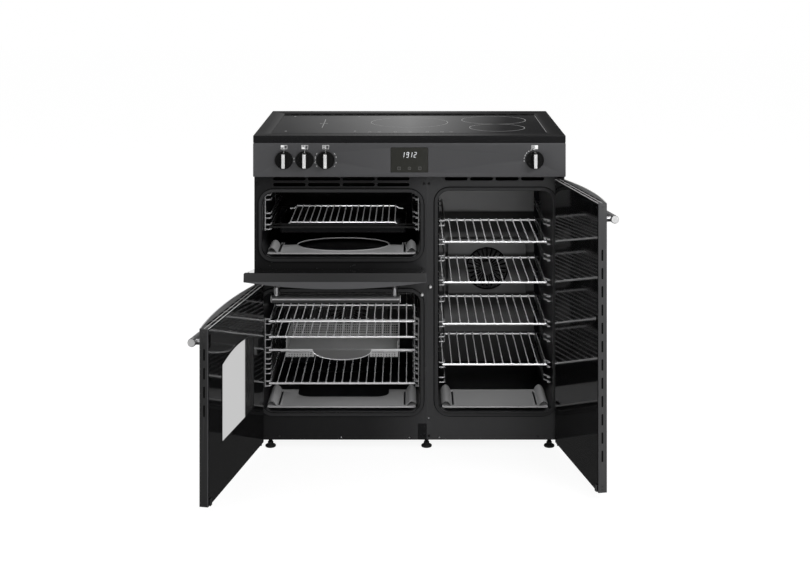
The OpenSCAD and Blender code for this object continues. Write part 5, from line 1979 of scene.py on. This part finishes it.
@dataclass(frozen=True)
class Studio:
    """A white studio: floor, soft boxes, a mirrored card and surroundings.

    Attributes:
        floor_side: Side of the square floor.
        floor_colour: Colour of the floor as it lights the cooker.
        floor_white: Share of plain white in what the camera sees of the floor.
        floor_glow: Brightness of that white.
        floor_sweep: Depths between which the floor that the cooker mirrors turns from dark to white.
        floor_dark: Brightness of its dark part.
        ambient: Brightness of the surroundings as they light the cooker.
        mirror: Brightness of the surroundings as the cooker mirrors them.
        card_place: Middle of the card behind the cooker, which only the cooker's gloss shows.
        card_size: Width and height of the card.
        card_glow: Brightness of the card across its width, as place and strength.
        target: Point that the soft boxes face.
        lamps: The soft boxes.
        groups: Lamps for the things in the ovens and for the handles.
    """

    floor_side: float = 30.0
    floor_colour: tuple[float, ...] = (0.9, 0.9, 0.9, 1.0)
    floor_white: float = 0.8
    floor_glow: float = 1.13
    floor_sweep: Flat = (0.35, 1.1)
    floor_dark: float = 0.06
    ambient: float = 0.5
    mirror: float = 0.085
    card_place: Point = (0.0, 3.0, 1.5)
    card_size: Flat = (4.0, 0.9)
    card_glow: tuple[Flat, ...] = (
        (-2.0, 1.0), (-1.3, 1.0), (-1.1, 0.09), (-0.75, 0.12), (-0.43, 0.24), (0.0, 0.44),
        (0.33, 0.23), (0.6, 0.05), (1.1, 0.02), (1.3, 1.0), (2.0, 1.0),
    )
    target: Point = (0.0, -0.2, 0.45)
    lamps: tuple[SoftBox, ...] = (
        SoftBox("key_lamp", (2.6, -3.4, 3.0), (2.2, 2.2), 88.0),
        SoftBox("fill_lamp", (-3.2, -3.0, 1.8), (2.0, 2.4), 26.0),
        SoftBox("top_lamp", (0.0, 0.6, 3.4), (3.0, 1.6), 50.0),
        SoftBox("low_lamp", (1.2, -3.3, 0.35), (1.4, 0.5), 31.0, False),
    )
    groups: tuple[LampGroup, ...] = (
        LampGroup(
            "oven_wires",
            ("main_shelf", "tall_shelf", "roasting", "grill_trivet", "rack_wires"),
            (
                SoftBox("wire_front_lamp", (0.2, -2.6, 1.1), (1.6, 0.3), 23.0),
                SoftBox("wire_top_lamp", (0.15, -0.7, 2.2), (1.0, 0.5), 11.0),
            ),
            ("grill_door_skin", "grill_door_inner"),
        ),
        LampGroup(
            "shelf_wires",
            ("main_shelf", "tall_shelf"),
            (SoftBox("shelf_top_lamp", (0.15, -0.7, 2.2), (1.0, 0.5), 22.0),),
            ("grill_door_skin", "grill_door_inner"),
        ),
        LampGroup(
            "oven_decks",
            ("floor_plates",),
            (
                SoftBox("deck_front_lamp", (0.2, -2.6, 1.1), (1.6, 0.8), 26.0),
                SoftBox("deck_top_lamp", (0.15, -0.7, 2.2), (1.0, 0.5), 21.0),
            ),
        ),
        LampGroup(
            "handles",
            ("door_bar", "door_caps", "strike_pins", "head_rims"),
            (SoftBox("bar_front_lamp", (0.0, -3.4, 0.3), (2.6, 0.6), 12.0),),
            target=(0.0, -0.5, 0.5),
        ),
        LampGroup(
            "side_handles",
            ("oven_door_bar", "head_rims"),
            (SoftBox("bar_top_lamp", (0.0, -1.0, 2.4), (2.6, 0.4), 22.0),),
            target=(0.0, -0.5, 0.5),
        ),
    )

    def build(self) -> None:
        """Adds the floor, the lamps and the surroundings."""
        self._floor()
        self._world()
        self._card()
        for lamp in self.lamps:
            lamp.build(Vector(self.target))
        bpy.context.scene.view_settings.view_transform = "Standard"

    def light_pieces(self) -> None:
        """Adds the lamps that light only some pieces, once the pieces are there."""
        for group in self.groups:
            group.build()

    @staticmethod
    def _sheet(name: str, points: Sequence[Point]) -> tuple[bpy.types.Object, Graph]:
        """Adds a flat stage piece with an empty material.

        Args:
            name: Name of the piece and its material.
            points: Its four corners.

        Returns:
            The piece and its material's graph.
        """
        mesh = bpy.data.meshes.new(name)
        mesh.from_pydata(points, [], [(0, 1, 2, 3)])
        sheet = bpy.data.objects.new(name, mesh)
        bpy.context.scene.collection.objects.link(sheet)
        material = bpy.data.materials.new(name)
        material.use_nodes = True
        mesh.materials.append(material)
        return sheet, Graph(material.node_tree)

    def _floor(self) -> None:
        """Adds a pale floor that the camera sees as white, with the cooker's soft shadow."""
        half = self.floor_side / 2
        points = [(-half, -half, 0), (half, -half, 0), (half, half, 0), (-half, half, 0)]
        _, graph = self._sheet("floor", points)
        matt = graph.out("ShaderNodeBsdfDiffuse", {"Color": self.floor_colour})
        seen = graph.math("MULTIPLY", seen_rays(graph), self.floor_white)
        mixed = graph.out("ShaderNodeMixShader", {0: seen, 1: matt, 2: graph.glow(self.floor_glow)})
        near, far = self.floor_sweep
        rise = {"Value": graph.along("Y"), "From Min": near, "From Max": far, "To Min": self.floor_dark}
        sweep = graph.out("ShaderNodeMapRange", rise, interpolation_type="SMOOTHSTEP")
        glossy = graph.add("ShaderNodeLightPath").outputs["Is Glossy Ray"]
        mixed = graph.out("ShaderNodeMixShader", {0: glossy, 1: mixed, 2: graph.glow(sweep)})
        graph.add("ShaderNodeOutputMaterial", {"Surface": mixed})

    def _card(self) -> None:
        """Adds the graded card whose image lies in the hob's glass."""
        (x, y, z), (width, height) = self.card_place, self.card_size
        corners_xz = ((-1, -1), (1, -1), (1, 1), (-1, 1))
        points = [(x + sx * width / 2, y, z + sz * height / 2) for sx, sz in corners_xz]
        card, graph = self._sheet("card", points)
        card.visible_camera = card.visible_diffuse = card.visible_shadow = False
        share = graph.math("MULTIPLY_ADD", graph.along("X"), 1 / width, 0.5)
        stops = [(at / width + 0.5, glow) for at, glow in self.card_glow]
        light = graph.out("ShaderNodeEmission", {"Color": graph.ramp(share, stops), "Strength": 1.0})
        graph.add("ShaderNodeOutputMaterial", {"Surface": light})

    def _world(self) -> None:
        """Makes the surroundings: white where they are seen, dim where they are mirrored."""
        world = bpy.data.worlds.new("studio")
        world.use_nodes = True
        bpy.context.scene.world = world
        graph = Graph(world.node_tree)
        glossy = graph.add("ShaderNodeLightPath").outputs["Is Glossy Ray"]
        dimmed = graph.math("MULTIPLY_ADD", glossy, self.mirror - self.ambient, self.ambient)
        glow = graph.math("MULTIPLY_ADD", seen_rays(graph), 1 - self.ambient, dimmed)
        light = graph.out("ShaderNodeBackground", {"Color": WHITE, "Strength": glow})
        graph.add("ShaderNodeOutputWorld", {"Surface": light})


def seen_rays(graph: Graph) -> Socket:
    """Adds nodes that give 1 where the background is seen, straight or through glass.

    Args:
        graph: The tree to add them to.

    Returns:
        A value of 1 on camera and transmission rays, and else 0.
    """
    rays = graph.add("ShaderNodeLightPath").outputs
    return graph.math("MAXIMUM", rays["Is Camera Ray"], rays["Is Transmission Ray"])


# -------- main


def corners(box: tuple[Vector, Vector]) -> list[list[float]]:
    """Turns a box into plain lists of numbers."""
    return [list(box[0]), list(box[1])]


def main() -> None:
    """Builds the whole scene."""
    logging.basicConfig(level=logging.INFO)
    Camera().build()
    studio = Studio()
    studio.build()
    finishes = Finishes()
    dress_nodes(finishes)
    shop = Workshop(finishes)
    for part in (Hob(), Controls(), Doors(), Ovens(), Casing()):
        part.build(shop)
    studio.light_pieces()
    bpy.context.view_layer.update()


if __name__ == "__main__":
    main()
